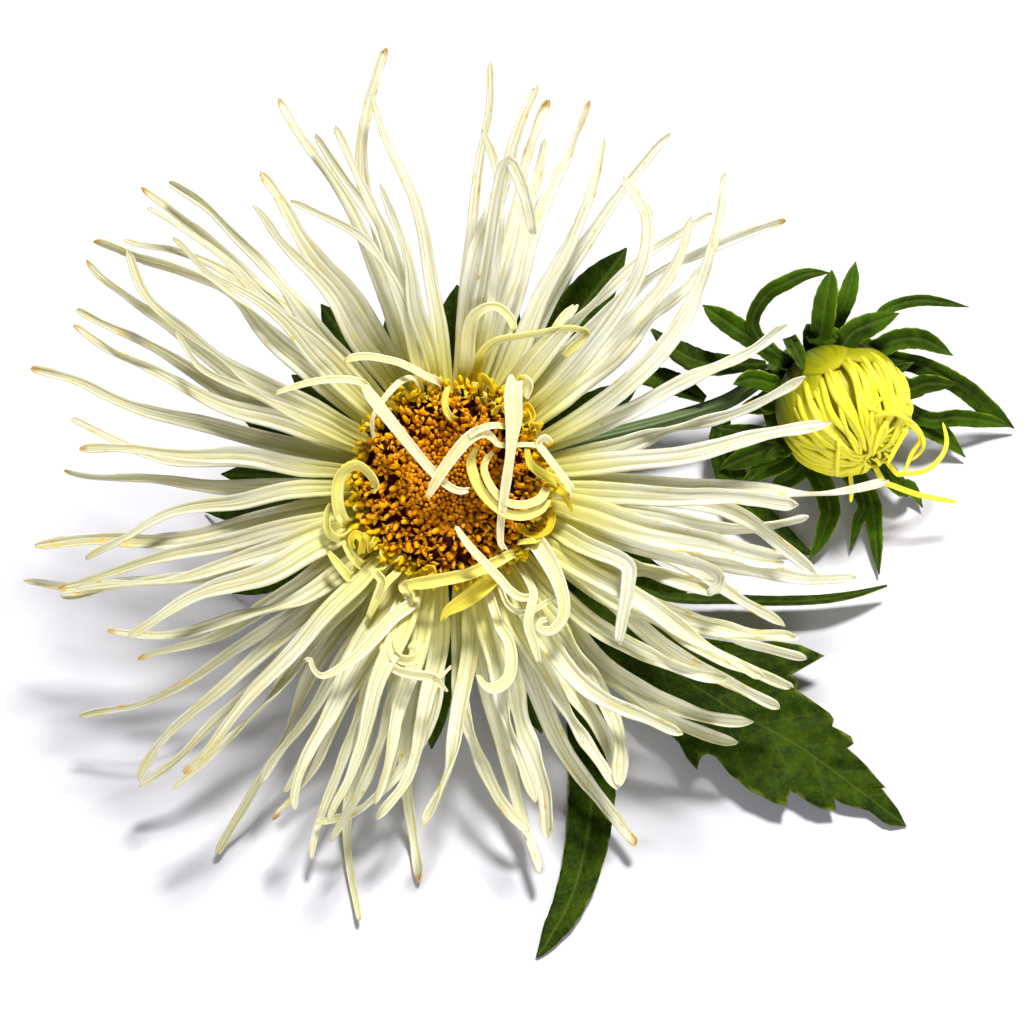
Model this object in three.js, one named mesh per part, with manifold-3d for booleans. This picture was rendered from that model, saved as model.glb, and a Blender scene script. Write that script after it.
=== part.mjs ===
// A cut quilled China aster: one open bloom that faces up and forward, its leafy involucre, a bent stem
// that lies on the surface, the leaves, and a side branch with a bud.
// Millimetres, +Z up. The origin is on the flat under the stem, where the flower rests.
import * as THREE from 'three';
import { mergeVertices } from 'three/addons/utils/BufferGeometryUtils.js';
import Module from 'manifold-3d';

const wasm = await Module();
wasm.setup();

// Driving dimensions
const BLOOM_TILT = 30;          // degrees that the bloom's axis leans to the front
const HEAD = new THREE.Vector3(-12, -45, 38);   // centre of the disc
const DISC_RADIUS = 13.4;
const DISC_RISE = 3.4;
const DISH_RADIUS = 15;         // receptacle that the rays stand in
const DISH_DEPTH = 8;
const CUP_DEPTH = 16;           // involucre cup, from the disc's base to the stem
const STEM_RADIUS = 2.1;
const BRANCH_RADIUS = 1.3;
const LEAF_THICKNESS = 0.8;
const BRACT_THICKNESS = 0.8;
const BRACT_STEPS = 4;
const RAY_KEEL = 1.0;           // depth of a ray under its upper face
const BUD_RADIUS = 11;
const GAP = 0.35;               // between neighbouring pieces
const VIEW_DISTANCE = 447;      // the flower's places are read from this far in front of the bloom
const VIEW_MIDDLE = [9.7, -4.7];

// Looks of the plain solids
const CREAM = { color: 0xf1eed8, roughness: 0.6, metalness: 0 };
const DISC_GOLD = { color: 0xc98a12, roughness: 0.75, metalness: 0 };
const LEAF_GREEN = { color: 0x2f4a14, roughness: 0.6, metalness: 0 };
const STEM_GREEN = { color: 0x55702a, roughness: 0.6, metalness: 0 };
const BUD_YELLOW = { color: 0xe6e01c, roughness: 0.55, metalness: 0 };

// The bloom's own directions: to its right, up its face, and out along its axis
const TILT = THREE.MathUtils.degToRad(BLOOM_TILT);
const RIGHT = new THREE.Vector3(1, 0, 0);
const UP = new THREE.Vector3(0, Math.cos(TILT), Math.sin(TILT));
const AXIS = new THREE.Vector3(0, -Math.sin(TILT), Math.cos(TILT));

// A point of the bloom's frame: across, up its face, and out from it
function headPoint(a, b, w) {
  return HEAD.clone().addScaledVector(RIGHT, a).addScaledVector(UP, b).addScaledVector(AXIS, w);
}

// The point at w out from the face that is seen at (a, b) of the face, from VIEW_DISTANCE in front of it
function facePoint(a, b, w) {
  const spread = 1 - w / VIEW_DISTANCE;
  const [middleA, middleB] = VIEW_MIDDLE;
  return headPoint(middleA + (a - middleA) * spread, middleB + (b - middleB) * spread, w);
}

// The point at height z that is seen at (a, b) of the face
function lowPoint(a, b, z) {
  const slant = (b - VIEW_MIDDLE[1]) / VIEW_DISTANCE;
  return facePoint(a, b, (z - HEAD.z - b * UP.z) / (AXIS.z - slant * UP.z));
}

function polar(azimuth, reach) {
  const angle = THREE.MathUtils.degToRad(azimuth);
  return [reach * Math.cos(angle), reach * Math.sin(angle)];
}

function clamp(value, low, high) {
  return Math.min(high, Math.max(low, value));
}

// A smooth curve through points, with the given steps between each pair
function smooth(points, steps) {
  const path = [];
  for (let i = 0; i < points.length - 1; i += 1) {
    const p1 = points[i];
    const p2 = points[i + 1];
    const p0 = points[i - 1] ?? p1;
    const p3 = points[i + 2] ?? p2;
    for (let k = 0; k < steps; k += 1) {
      const t = k / steps;
      const point = new THREE.Vector3();
      for (const axis of ['x', 'y', 'z']) {
        const [a, b, c, d] = [p0[axis], p1[axis], p2[axis], p3[axis]];
        point[axis] = 0.5 * (2 * b + (c - a) * t + (2 * a - 5 * b + 4 * c - d) * t * t
          + (3 * b - a - 3 * c + d) * t * t * t);
      }
      path.push(point);
    }
  }
  path.push(points[points.length - 1].clone());
  return path;
}

// Tangent, side and face directions along a path. The face keeps near the given direction, or, on a path
// that curls, near the face before it.
function framesAlong(path, face, curls = false) {
  const frames = [];
  let normal = face.clone();
  path.forEach((point, i) => {
    const tangent = (path[i + 1] ?? point).clone().sub(path[i - 1] ?? point).normalize();
    normal = (curls ? normal : face).clone();
    normal.addScaledVector(tangent, -normal.dot(tangent)).normalize();
    frames.push({ point, tangent, normal, side: tangent.clone().cross(normal) });
  });
  return frames;
}

// Mesh through rings of points; a ring with one point closes that end to a tip
function ringMesh(rings) {
  const positions = [];
  const triangles = [];
  const starts = rings.map((ring) => {
    const start = positions.length / 3;
    ring.forEach((p) => positions.push(p.x, p.y, p.z));
    return start;
  });
  for (let i = 0; i < rings.length - 1; i += 1) {
    const [near, far] = [starts[i], starts[i + 1]];
    const count = Math.max(rings[i].length, rings[i + 1].length);
    for (let k = 0; k < count; k += 1) {
      const next = (k + 1) % count;
      if (rings[i].length === 1) {
        triangles.push(near, far + next, far + k);
      } else if (rings[i + 1].length === 1) {
        triangles.push(near + k, near + next, far);
      } else {
        triangles.push(near + k, near + next, far + next, near + k, far + next, far + k);
      }
    }
  }
  const [first, last] = [rings[0], rings[rings.length - 1]];
  for (let k = 1; k < first.length - 1; k += 1) {
    triangles.push(starts[0], starts[0] + k + 1, starts[0] + k);
  }
  const end = starts[rings.length - 1];
  for (let k = 1; k < last.length - 1; k += 1) {
    triangles.push(end, end + k, end + k + 1);
  }
  return { positions, triangles };
}

function signedVolume({ positions, triangles }) {
  const corner = (i) => new THREE.Vector3().fromArray(positions, 3 * i);
  let volume = 0;
  for (let t = 0; t < triangles.length; t += 3) {
    const [a, b, c] = [0, 1, 2].map((k) => corner(triangles[t + k]));
    volume += a.dot(b.cross(c)) / 6;
  }
  return volume;
}

// A closed body, turned so that its faces point out
function solidFrom(mesh) {
  const { positions, triangles } = mesh;
  if (signedVolume(mesh) < 0) {
    triangles.reverse();
  }
  return new wasm.Manifold(new wasm.Mesh({
    numProp: 3,
    vertProperties: Float32Array.from(positions),
    triVerts: Uint32Array.from(triangles),
  }));
}

function fuse(solids) {
  return wasm.Manifold.union(solids);
}

// A ray floret: a narrow strap with a keel, flat above, closed to a tip
function strap(path, face, widthAt, depth = RAY_KEEL, curls = false) {
  const frames = framesAlong(path, face, curls);
  const rings = frames.map(({ point, normal, side }, i) => {
    const t = i / (frames.length - 1);
    if (i === frames.length - 1) {
      return [point.clone().addScaledVector(normal, -0.3 * depth)];
    }
    const half = widthAt(t) / 2;
    return [
      point.clone().addScaledVector(side, -half),
      point.clone().addScaledVector(side, half),
      point.clone().addScaledVector(normal, -depth * (0.75 + 0.25 * Math.sin(Math.PI * t))),
    ];
  });
  return solidFrom(ringMesh(rings));
}

// A stem or peg of flat sides round a path; with an even number of sides one of them is below
function rod(path, radius, sides, face = new THREE.Vector3(0, 0, 1)) {
  const corner = radius / Math.cos(Math.PI / sides);
  const rings = framesAlong(path, face).map(({ point, normal, side }) => (
    Array.from({ length: sides }, (_, k) => {
      const angle = (2 * Math.PI * (k + 0.5)) / sides;
      return point.clone().addScaledVector(normal, corner * Math.cos(angle))
        .addScaledVector(side, corner * Math.sin(angle));
    })
  ));
  return solidFrom(ringMesh(rings));
}

// A body turned round the bloom's axis or another one, from a profile of [radius, height]
function turned(profile, centre, axis, across, sides) {
  const other = axis.clone().cross(across);
  const rings = profile.map(([radius, height]) => {
    const middle = centre.clone().addScaledVector(axis, height);
    if (radius === 0) {
      return [middle];
    }
    return Array.from({ length: sides }, (_, k) => {
      const angle = (2 * Math.PI * k) / sides;
      return middle.clone().addScaledVector(across, radius * Math.cos(angle))
        .addScaledVector(other, radius * Math.sin(angle));
    });
  });
  return solidFrom(ringMesh(rings));
}

// A leaf blade of even thickness. Each station has its place, its two half widths and the height of its
// fold; the columns run from the left edge over the midrib to the right edge.
function blade(frames, halves, thickness, lifts, columns = [-1, 0, 1]) {
  const upper = [];
  const lower = [];
  frames.forEach(({ point, normal, side }, i) => {
    const [left, right] = halves[i];
    columns.forEach((column) => {
      const reach = column < 0 ? left * column : right * column;
      const fold = lifts[i] * Math.abs(column);
      const middle = point.clone().addScaledVector(side, reach).addScaledVector(normal, fold);
      upper.push(middle.clone().addScaledVector(normal, thickness / 2));
      lower.push(middle.clone().addScaledVector(normal, -thickness / 2));
    });
  });
  const width = columns.length;
  const total = upper.length;
  const positions = [...upper, ...lower].flatMap((p) => [p.x, p.y, p.z]);
  const triangles = [];
  const quad = (a, b, c, d) => triangles.push(a, b, c, a, c, d);
  for (let i = 0; i < frames.length - 1; i += 1) {
    for (let k = 0; k < width - 1; k += 1) {
      const corner = i * width + k;
      const [a, b, c, d] = [corner, corner + 1, corner + width + 1, corner + width];
      quad(a, b, c, d);
      quad(a + total, d + total, c + total, b + total);
    }
    const left = i * width;
    const right = left + width - 1;
    quad(left + width, left + width + total, left + total, left);
    quad(right, right + total, right + width + total, right + width);
  }
  const last = (frames.length - 1) * width;
  for (let k = 0; k < width - 1; k += 1) {
    quad(k, k + total, k + 1 + total, k + 1);
    quad(last + k + 1, last + k + 1 + total, last + k + total, last + k);
  }
  return solidFrom({ positions, triangles });
}

// Outer rays, read round the bloom from its right: azimuth at the foot, azimuth and reach at the
// middle, azimuth and reach at the tip, and width
const OUTER_RAYS = [
  [361, 358.6, 50, 360.5, 69, 2.8],
  [7, 7.8, 47, 8.7, 60.5, 2.8],
  [11.5, 12.6, 40, 16.5, 58, 2.8],
  [21.5, 22.2, 39, 24.5, 58.7, 2.8],
  [24, 35, 45, 48, 65.5, 2.8],
  [38, 39, 40, 39, 53.6, 3.6],
  [48, 42.5, 53, 38, 67, 2.8],
  [41, 44.5, 50, 46.5, 57, 2.8],
  [54, 49.3, 47, 45, 59, 2.6],
  [61, 59.5, 50, 57.5, 65, 2.6],
  [62, 64.5, 50, 65.5, 59.5, 2.8],
  [71, 70.5, 50, 70, 64, 2.6],
  [75, 74, 40, 74.5, 56, 2.6],
  [77, 77, 48, 75.5, 62, 2.6],
  [84, 80.5, 50, 78, 64, 3.4],
  [80, 82.5, 50, 85, 56, 2.6],
  [85, 84.5, 57, 84.5, 66, 2.0],
  [92, 99, 48, 102, 62, 2.2],
  [98, 101.5, 38, 104, 48, 2.6],
  [104, 104.5, 52, 98.5, 69, 2.8],
  [105, 106.5, 52, 108.5, 58.5, 2.4],
  [105, 108, 50, 111, 59, 2.6],
  [108, 111, 50, 113.5, 66, 2.8],
  [107, 112, 43, 119, 51.5, 2.0],
  [117, 120, 45, 122, 57.5, 3.8],
  [121, 124, 38, 127.5, 53, 2.6],
  [131, 131.5, 50, 133, 65, 2.8],
  [134, 134.3, 52, 136.5, 67, 2.8],
  [134.5, 136, 53, 139, 64, 2.4],
  [138.5, 138, 40, 139.5, 58, 2.0],
  [137, 138.5, 55, 141.5, 64.5, 2.0],
  [143, 143, 54, 147, 67, 3.2],
  [151, 149, 50, 145.5, 63, 2.6],
  [154, 151.5, 53, 147, 66.5, 2.6],
  [158, 155, 34, 153, 49.5, 1.8],
  [157, 156, 40, 155.5, 65, 2.6],
  [161, 159.5, 40, 158.5, 64, 2.6],
  [168, 165.5, 50, 164.5, 68, 2.6],
  [171, 173, 50, 170, 60, 2.6],
  [174, 174.5, 40, 174, 58.5, 2.6],
  [182, 180, 50, 177.5, 60.5, 2.6],
  [184, 189, 50, 193.5, 57.5, 2.4],
  [193, 190.5, 44, 189, 66, 3.4],
  [191, 191, 28, 190, 39.5, 2.4],
  [197, 195, 44, 193, 64, 2.6],
  [199, 196, 59, 194, 69, 2.4],
  [204, 200, 47, 194.5, 62.5, 2.6],
  [201, 199, 42, 197, 61, 2.6],
  [220, 209.5, 49, 203.5, 59, 2.6],
  [205, 205, 38, 206, 56, 3.4],
  [210, 213, 45.5, 210.5, 57, 2.6],
  [224, 215.5, 55, 213.5, 69.5, 2.0],
  [226, 221.5, 48, 224.5, 68, 2.6],
  [226, 225, 44, 225.5, 69, 2.6],
  [228, 227, 40, 226.5, 62, 2.4],
  [230, 229, 42, 228, 65, 2.8],
  [232.5, 236, 50, 238.5, 69, 2.6],
  [238, 238.5, 40, 239, 56, 2.6],
  [247, 243.5, 38, 240.5, 55, 1.8],
  [246, 242, 46.6, 245, 57, 3.4],
  [247, 244.3, 46, 242, 60, 2.6],
  [250, 249, 49, 250.5, 63, 2.6],
  [253, 253, 57, 258, 70.5, 2.4],
  [262, 256.7, 50, 249, 58, 2.4],
  [264, 261, 49, 258.5, 54.5, 2.6],
  [264, 262.5, 53, 265, 63, 2.6],
  [282, 268.5, 45, 264, 53.5, 2.6],
  [276, 276.5, 45, 282, 57, 2.6],
  [283, 284, 36, 285, 52, 2.4],
  [279, 282, 48, 282.5, 63.5, 2.6],
  [286, 286.5, 40, 286.5, 58, 3.4],
  [293, 294.5, 50, 297, 64, 2.8],
  [295, 297, 45, 298.5, 55, 2.6],
  [297, 300.5, 46, 299.5, 55, 3.4],
  [305, 304, 44, 299.7, 55, 2.8],
  [304, 306.6, 44, 313, 53.5, 2.8],
  [310, 312, 47, 318, 61, 2.8],
  [313, 312.5, 44, 321.5, 61, 3.0],
  [315, 318, 41, 325.5, 53, 2.6],
  [327, 323.8, 50.5, 325.5, 63, 2.6],
  [325, 326, 45, 329, 63, 2.6],
  [326, 327.5, 40, 329, 58, 2.6],
  [327, 330, 50, 334, 62.5, 2.8],
  [326, 330, 44, 335.5, 60, 2.8],
  [345, 338.5, 49, 335.5, 57, 2.6],
  [349, 345.4, 39.5, 347, 54.5, 4.6],
  [342, 343.5, 50, 346, 66.3, 2.8],
  [351, 350, 52, 345.7, 59, 2.6],
  [353, 351, 44, 354.5, 56.5, 2.6],
  [356, 356, 40, 356.5, 55, 2.8],
];

// Rays that bend back or hang across their neighbours: width, then [across, up, out] from foot to tip
const LOOSE_RAYS = [
  [2.8, [10.8, 9.7, -2], [20, 18.5, 6.5], [29.3, 31.8, 10.6], [31, 41.5, 12], [27, 47.9, 11.6]],
  [2.6, [2.1, 14.8, -2], [5.5, 34, 7.6], [8.5, 50, 11], [11.4, 46, 12.8], [13, 38.9, 12]],
  [2.8, [13.9, -5.6, -2], [22, -9.4, 6], [29.5, -13.4, 9.6], [29.2, -18.5, 9.4], [26.5, -25.8, 8.6]],
  [2.8, [14.2, -4.9, -2], [27, -9.6, 7], [39.8, -13.2, 10.4], [42.4, -15.4, 10.2], [40.3, -17.7, 9.4]],
];

// Curled inner rays, in the same form
const INNER_RAYS = [
  [3.2, [-9.6, 11.2, -1], [-12.8, 14.6, 4], [-12.6, 14.2, 9], [-7.1, 7.9, 10.6], [-1.1, 1.1, 10],
    [3, -0.8, 8.8]],
  [1.8, [-9.4, 11.4, -1], [-13.2, 15.4, 6.5], [-18.8, 16.5, 9.5], [-24, 15.6, 9], [-27.5, 13.7, 7.5]],
  [2.6, [14.4, 4.2, -1], [14.8, 6, 4.5], [8.8, 8.8, 9.6], [1.4, 5.7, 11.8], [-1.1, 1.8, 12.4],
    [-3.8, -2.9, 10.4]],
  [3.0, [8.6, 12.2, -1], [10.6, 16.8, 6], [10.2, 14, 12.4], [9.8, 7.9, 12.8], [8.8, -0.1, 11],
    [8, -10.7, 7.6]],
  [2.4, [14.6, -2.4, -1], [18.9, -1.2, 4], [14.3, 6, 9], [10.5, 6.2, 8.6], [6.9, 6.9, 8.4]],
  [2.2, [14.2, -3.8, -1], [15, -4.6, 4], [11.7, -5.6, 7.2], [7.2, -3, 8.4], [3.7, 1.5, 8.6], [4.6, 5, 8.4]],
  [1.8, [14.6, -1.2, -1], [15, -1.8, 4], [11, -3.8, 7.2], [8.5, -1.8, 8.4], [5.7, 1.5, 8.6],
    [6.9, 4.4, 8.4]],
  [2.6, [9.3, -11.5, -1], [9.6, -12.6, 4.4], [4, -13.8, 6.6], [-1.1, -15.8, 6], [-6.9, -16.2, 5]],
  [2.8, [10.2, -10.9, -1], [13, -17.4, 4], [11, -18, 8.4], [7.2, -14.6, 9.2], [4, -10.7, 9.2],
    [1, -6.9, 8.8]],
  [3.4, [11.4, -9.4, -1], [15.9, -13, 6.5], [18.3, -17, 8], [17.8, -21, 7.6], [15.9, -23.8, 7],
    [13, -24.4, 6.6]],
  [2.8, [6, -13.4, -1], [7.2, -15.8, 2.5], [3.7, -18.6, 4.2], [-1.1, -21.6, 4]],
  [2.6, [-14, -4.2, -1], [-17.8, -5.6, 3.5], [-17.6, -0.1, 7], [-14.9, 2.7, 7.8], [-12.2, 1.4, 7.6]],
  [2.2, [-13.6, -5.6, -1], [-16, -8, 3], [-18.8, -8, 4.2], [-20.4, -3.5, 4]],
  [1.8, [-12.2, -8.2, -1], [-14.6, -9, 2.6], [-14.6, -11.4, 3.8], [-12.8, -10.8, 4.4]],
  [2.4, [-10.4, -10.6, -1], [-14, -15, 2], [-16.4, -13.9, 3.5], [-18.7, -11.7, 3.5]],
  [2.4, [-1, 14.7, -1], [-2.6, 16.6, 3.4], [-5.9, 18, 5.5], [-10.7, 19.4, 6], [-16.5, 19.2, 5.4]],
  [2.2, [-4.6, 14, -1], [-5.8, 16.4, 3.4], [-10.4, 13.6, 6], [-12.6, 8, 6.4]],
  [1.8, [0.3, 14.8, -1], [0.6, 15.9, 3.4], [-0.8, 12.8, 7], [0.8, 10.4, 7.4]],
  [2.6, [3.8, 14.2, -1], [4.6, 17.5, 2.8], [6.3, 21.5, 5], [17.4, 24, 7], [22, 22.9, 6]],
  [2.0, [4.2, 14.1, -1], [3.2, 17, 1.8], [5.3, 20.4, 3.6], [10.4, 21.8, 4]],
  [2.2, [1.4, 14.7, -1], [1.2, 19, 3], [2.2, 25, 5.5], [6.3, 27.6, 6.5], [10, 24.8, 5.6]],
  [2.6, [-5.5, -13.6, -1], [-7, -17.5, 3], [-14.3, -26.8, 6.5], [-19.4, -30.3, 7], [-22.5, -27.8, 6.6]],
  [2.6, [-5.9, -13.4, -1], [-9, -21, 4], [-10.8, -26, 6.4], [-8.6, -29.8, 7.5], [-1.5, -32.8, 7.5]],
  [3.4, [4.6, -14, -1], [4.4, -20, 3], [8.6, -27.5, 7], [8.4, -32, 7.6], [4.2, -31, 7.3]],
];

// Layers of rays, lowest first: height out of the bloom's face at the foot, middle and tip
const LAYERS = [
  [-6.8, -6, -9],
  [-5.4, -2.5, -4.5],
  [-4, 1.2, 0],
  [-2.6, 5, 4.5],
  [-1.2, 8.8, 9],
];
const ROOT_REACH = 13.4;        // rays are rooted this far out, inside the receptacle
const BENT_FOOT = -3.2;         // height of the bent rays' feet
const BENT_KEEL = 0.9;
const MIDDLE_REACH = 40;
const OUTER_REACH = 66;
const RAY_STOPS = [0, 0.14, 0.36, 0.6, 0.84, 1];

// Value at x of the parabola through three points
function parabola(x, [x0, y0], [x1, y1], [x2, y2]) {
  return (y0 * (x - x1) * (x - x2)) / ((x0 - x1) * (x0 - x2))
    + (y1 * (x - x0) * (x - x2)) / ((x1 - x0) * (x1 - x2))
    + (y2 * (x - x0) * (x - x1)) / ((x2 - x0) * (x2 - x1));
}

function azimuthAt([root, middle, middleReach, tip, tipReach], reach) {
  return parabola(reach, [ROOT_REACH, root], [middleReach, middle], [tipReach, tip]);
}

// How much two rays would run into each other in one layer
function crowding(one, two) {
  let clashes = 0;
  const limit = Math.min(one[4], two[4]) - 1;
  for (let reach = 18; reach < limit; reach += 4) {
    let apart = Math.abs(azimuthAt(one, reach) - azimuthAt(two, reach));
    apart = Math.min(apart, Math.abs(apart - 360));
    if (THREE.MathUtils.degToRad(apart) * reach < (one[5] + two[5]) / 2 - 0.2) {
      clashes += 1;
    }
  }
  return clashes;
}

// The longest rays take the lowest layer in which they lie clear of the others
function layersOf(rays) {
  const order = rays.map((_, i) => i).sort((i, j) => rays[j][4] - rays[i][4] || i - j);
  const layer = new Array(rays.length).fill(-1);
  for (const i of order) {
    let fewest = Infinity;
    for (let level = 0; level < LAYERS.length; level += 1) {
      let clashes = 0;
      rays.forEach((ray, j) => {
        if (layer[j] === level) {
          clashes += crowding(rays[i], ray);
        }
      });
      if (clashes < fewest) {
        fewest = clashes;
        layer[i] = level;
      }
    }
  }
  return layer;
}

// Lowest height of a ray: on the surface at the front left, over the leaves at the front right
function restingHeight(azimuth, level) {
  const overLeaves = azimuth > 274 && azimuth < 352;
  return (overLeaves ? 4.4 : 1.3) + 1.2 * level;
}

function outerRayPath(ray, level) {
  const [footOut, middleOut, tipOut] = LAYERS[level];
  return RAY_STOPS.map((stop) => {
    const reach = ROOT_REACH + stop * (ray[4] - ROOT_REACH);
    const azimuth = azimuthAt(ray, reach);
    const [a, b] = polar(azimuth, reach);
    const out = parabola(reach, [ROOT_REACH, footOut], [MIDDLE_REACH, middleOut], [OUTER_REACH, tipOut]);
    const over = facePoint(a, b, out).z - restingHeight(azimuth, level);
    const lift = (Math.hypot(over, 1.2) - over) / 2;
    return facePoint(a, b, out + lift / AXIS.z);
  });
}

function rayWidth(width) {
  return (t) => width * (0.5 + 0.5 * Math.min(1, t * 3)) * (1 - 0.45 * Math.max(0, (t - 0.7) / 0.3));
}

function makeRayFlorets() {
  const dish = turned([
    [0, -DISH_DEPTH], [13.6, -DISH_DEPTH], [DISH_RADIUS, -DISH_DEPTH + 0.8], [DISH_RADIUS, -0.8],
    [DISC_RADIUS + 0.6, 0], [0, 0],
  ], HEAD, AXIS, RIGHT, 36);
  const layer = layersOf(OUTER_RAYS);
  const outer = OUTER_RAYS.map((ray, i) => strap(outerRayPath(ray, layer[i]), AXIS, rayWidth(ray[5])));
  const bent = [...LOOSE_RAYS, ...INNER_RAYS].map(([width, ...points]) => {
    const inwards = ROOT_REACH / Math.hypot(points[0][0], points[0][1]);
    const foot = headPoint(inwards * points[0][0], inwards * points[0][1], BENT_FOOT);
    const path = [foot, ...smooth(points.map((point) => facePoint(...point)), 3)];
    return strap(path, HEAD.clone().sub(foot), rayWidth(width), BENT_KEEL, true);
  });
  return fuse([dish, ...outer, ...bent]);
}

// Disc florets: pegs set on a low dome by the golden angle, low and closed in the middle
const DISC_FLORETS = 130;
const GOLDEN_ANGLE = 137.508;

function discHeight(reach) {
  return GAP + 0.9 + DISC_RISE * (1 - (reach / DISC_RADIUS) ** 2);
}

function makeDiscFlorets() {
  const profile = [[0, GAP], [DISC_RADIUS, GAP]];
  for (const reach of [DISC_RADIUS, 11, 8, 4.5]) {
    profile.push([reach, discHeight(reach)]);
  }
  profile.push([0, discHeight(0)]);
  const solids = [turned(profile, HEAD, AXIS, RIGHT, 20)];
  for (let i = 1; i <= DISC_FLORETS; i += 1) {
    const reach = (DISC_RADIUS - 0.9) * Math.sqrt(i / DISC_FLORETS);
    const [a, b] = polar(i * GOLDEN_ANGLE, reach);
    const open = clamp((reach - 4) / 3, 0, 1);
    const tall = 0.5 + 1.3 * open + 0.3 * (i % 3) * open;
    const base = headPoint(a, b, discHeight(reach) - 0.7);
    const top = headPoint(a * 1.03, b * 1.03, discHeight(reach) + tall);
    solids.push(rod([base, top], 0.42 + 0.08 * open, 3, UP));
  }
  return fuse(solids);
}

// Leafy bracts of the bloom: azimuth, reach, height out of the face at the tip, and width
const BLOOM_BRACTS = [
  [27, 33, -17, 4.6],
  [53, 46, -16, 6],
  [70, 30, -19, 4.4],
  [88, 31, -15, 4.6],
  [111, 28, -18, 4],
  [126, 34.5, -17, 4.8],
  [146, 30, -19, 4.6],
  [163, 34, -24, 4.4],
  [187, 38.6, -40.4, 4.6],
  [207, 38.4, -32.8, 4.8],
  [178, 36, -20, 4],
  [228, 30, -17, 4.4],
  [248, 34, -15.5, 4.6],
  [266, 42, -15, 4.6],
  [290, 42, -14, 5],
  [306, 41, -13, 4.4],
  [335, 41, -15, 4.2],
  [356, 30, -17, 4.2],
];

// A lance-shaped leaf or bract along a path
function lance(path, face, width, thickness, fold = 0.12) {
  const frames = framesAlong(path, face);
  const halves = frames.map((_, i) => {
    const t = i / (frames.length - 1);
    const half = (width / 2) * Math.max(0.16, Math.sin(Math.PI * Math.min(1, 0.12 + 0.9 * t)) ** 0.8);
    return [half, half];
  });
  const lifts = halves.map(([half]) => fold * half);
  return blade(frames, halves, thickness, lifts);
}

function makeInvolucre() {
  const top = -DISH_DEPTH - GAP;
  const cup = turned([
    [0, -CUP_DEPTH], [STEM_RADIUS + 0.4, -CUP_DEPTH], [7, -CUP_DEPTH + 2.6], [11.5, top - 2.4],
    [12.6, top], [0, top],
  ], HEAD, AXIS, RIGHT, 24);
  const bracts = BLOOM_BRACTS.map(([azimuth, reach, out, width]) => {
    const points = [[9.5, -11.4], [0.5 * reach, -13], [0.72 * reach, 0.5 * out - 6], [reach, out]];
    const path = arch(points.map(([r, w]) => facePoint(...polar(azimuth, r), w)), BRACT_STEPS);
    return lance(path, AXIS, width, BRACT_THICKNESS);
  });
  return fuse([cup, ...bracts]);
}

// Stem: out of the cup along the bloom's axis, down and back along the surface, with a flat below
const STEM_PATH = [
  headPoint(0, 0, -CUP_DEPTH - GAP),
  new THREE.Vector3(-11.8, -31.5, 15.5),
  new THREE.Vector3(-9.6, -24, 7.2),
  new THREE.Vector3(-6.6, -15.5, 2.9),
  new THREE.Vector3(-3, -7, STEM_RADIUS),
  new THREE.Vector3(0.6, 3, STEM_RADIUS),
  new THREE.Vector3(4, 13, STEM_RADIUS),
  new THREE.Vector3(7.4, 23, STEM_RADIUS),
];
// Side branch: out of the stem, then as seen along the surface; it ends behind the bud
const BRANCH_FOOT = new THREE.Vector3(-9, -21.5, 6);
const BRANCH_SEEN = [[10, 4, 7.6], [23.6, 7, 8.2], [36, 10.2, 9], [44, 13, 9.8], [50.2, 17.4, 11.2]];
const BRANCH_NECK = [[-1.46, 0.06], [-1.235, 0]];

// The large toothed leaf. Its stations run along the midrib: share of the length, half width on the
// left and on the right, each tooth's tip and the notch behind it.
const TOOTHED_LEAF = [
  [0, 0.7, 0.7],
  [0.1, 0.9, 0.9],
  [0.2, 1.6, 1.6],
  [0.28, 6.4, 4.6],
  [0.36, 10.4, 6.2],
  [0.4, 14.4, 8.6],
  [0.44, 9, 11],
  [0.5, 9.6, 7.6],
  [0.58, 10, 9.6],
  [0.62, 11.2, 10.4],
  [0.66, 9.4, 11.4],
  [0.7, 10, 8.4],
  [0.74, 8.4, 9.4],
  [0.78, 8.8, 9.8],
  [0.81, 6.4, 6.6],
  [0.88, 5.4, 4.8],
  [0.92, 4.2, 3.4],
  [0.96, 2.6, 2],
  [1, 0.5, 0.5],
];
const TOOTHED_RIB = [
  [3.8, -0.5, 12], [11, -9, 8.6], [24.5, -23.4, 5], [42, -37, 3.4], [56, -44.5, 2.6], [71.7, -54.2, 0.45],
];

// A point a share of the way along a path, by its length
function pointAlong(path, share) {
  const lengths = path.slice(1).map((point, i) => point.distanceTo(path[i]));
  let left = share * lengths.reduce((sum, length) => sum + length, 0);
  for (let i = 0; i < lengths.length; i += 1) {
    if (left <= lengths[i] || i === lengths.length - 1) {
      return path[i].clone().lerp(path[i + 1], clamp(left / lengths[i], 0, 1));
    }
    left -= lengths[i];
  }
  return path[path.length - 1].clone();
}

// Curve through four control points, drawn towards the middle two
function arch([p0, p1, p2, p3], steps) {
  return new THREE.CubicBezierCurve3(p0, p1, p2, p3).getPoints(steps);
}

function seenPath(points, steps = 4) {
  return smooth(points.map(([a, b, z]) => lowPoint(a, b, z)), steps);
}

function makeToothedLeaf() {
  const rib = seenPath(TOOTHED_RIB);
  const path = TOOTHED_LEAF.map(([share]) => pointAlong(rib, share));
  const frames = framesAlong(path, new THREE.Vector3(0, 0, 1));
  const halves = TOOTHED_LEAF.map(([, left, right]) => [left, right]);
  const lifts = TOOTHED_LEAF.map(([share]) => 0.8 * Math.sin(Math.PI * share));
  return blade(frames, halves, LEAF_THICKNESS, lifts, [-1, -0.5, 0, 0.5, 1]);
}

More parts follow.
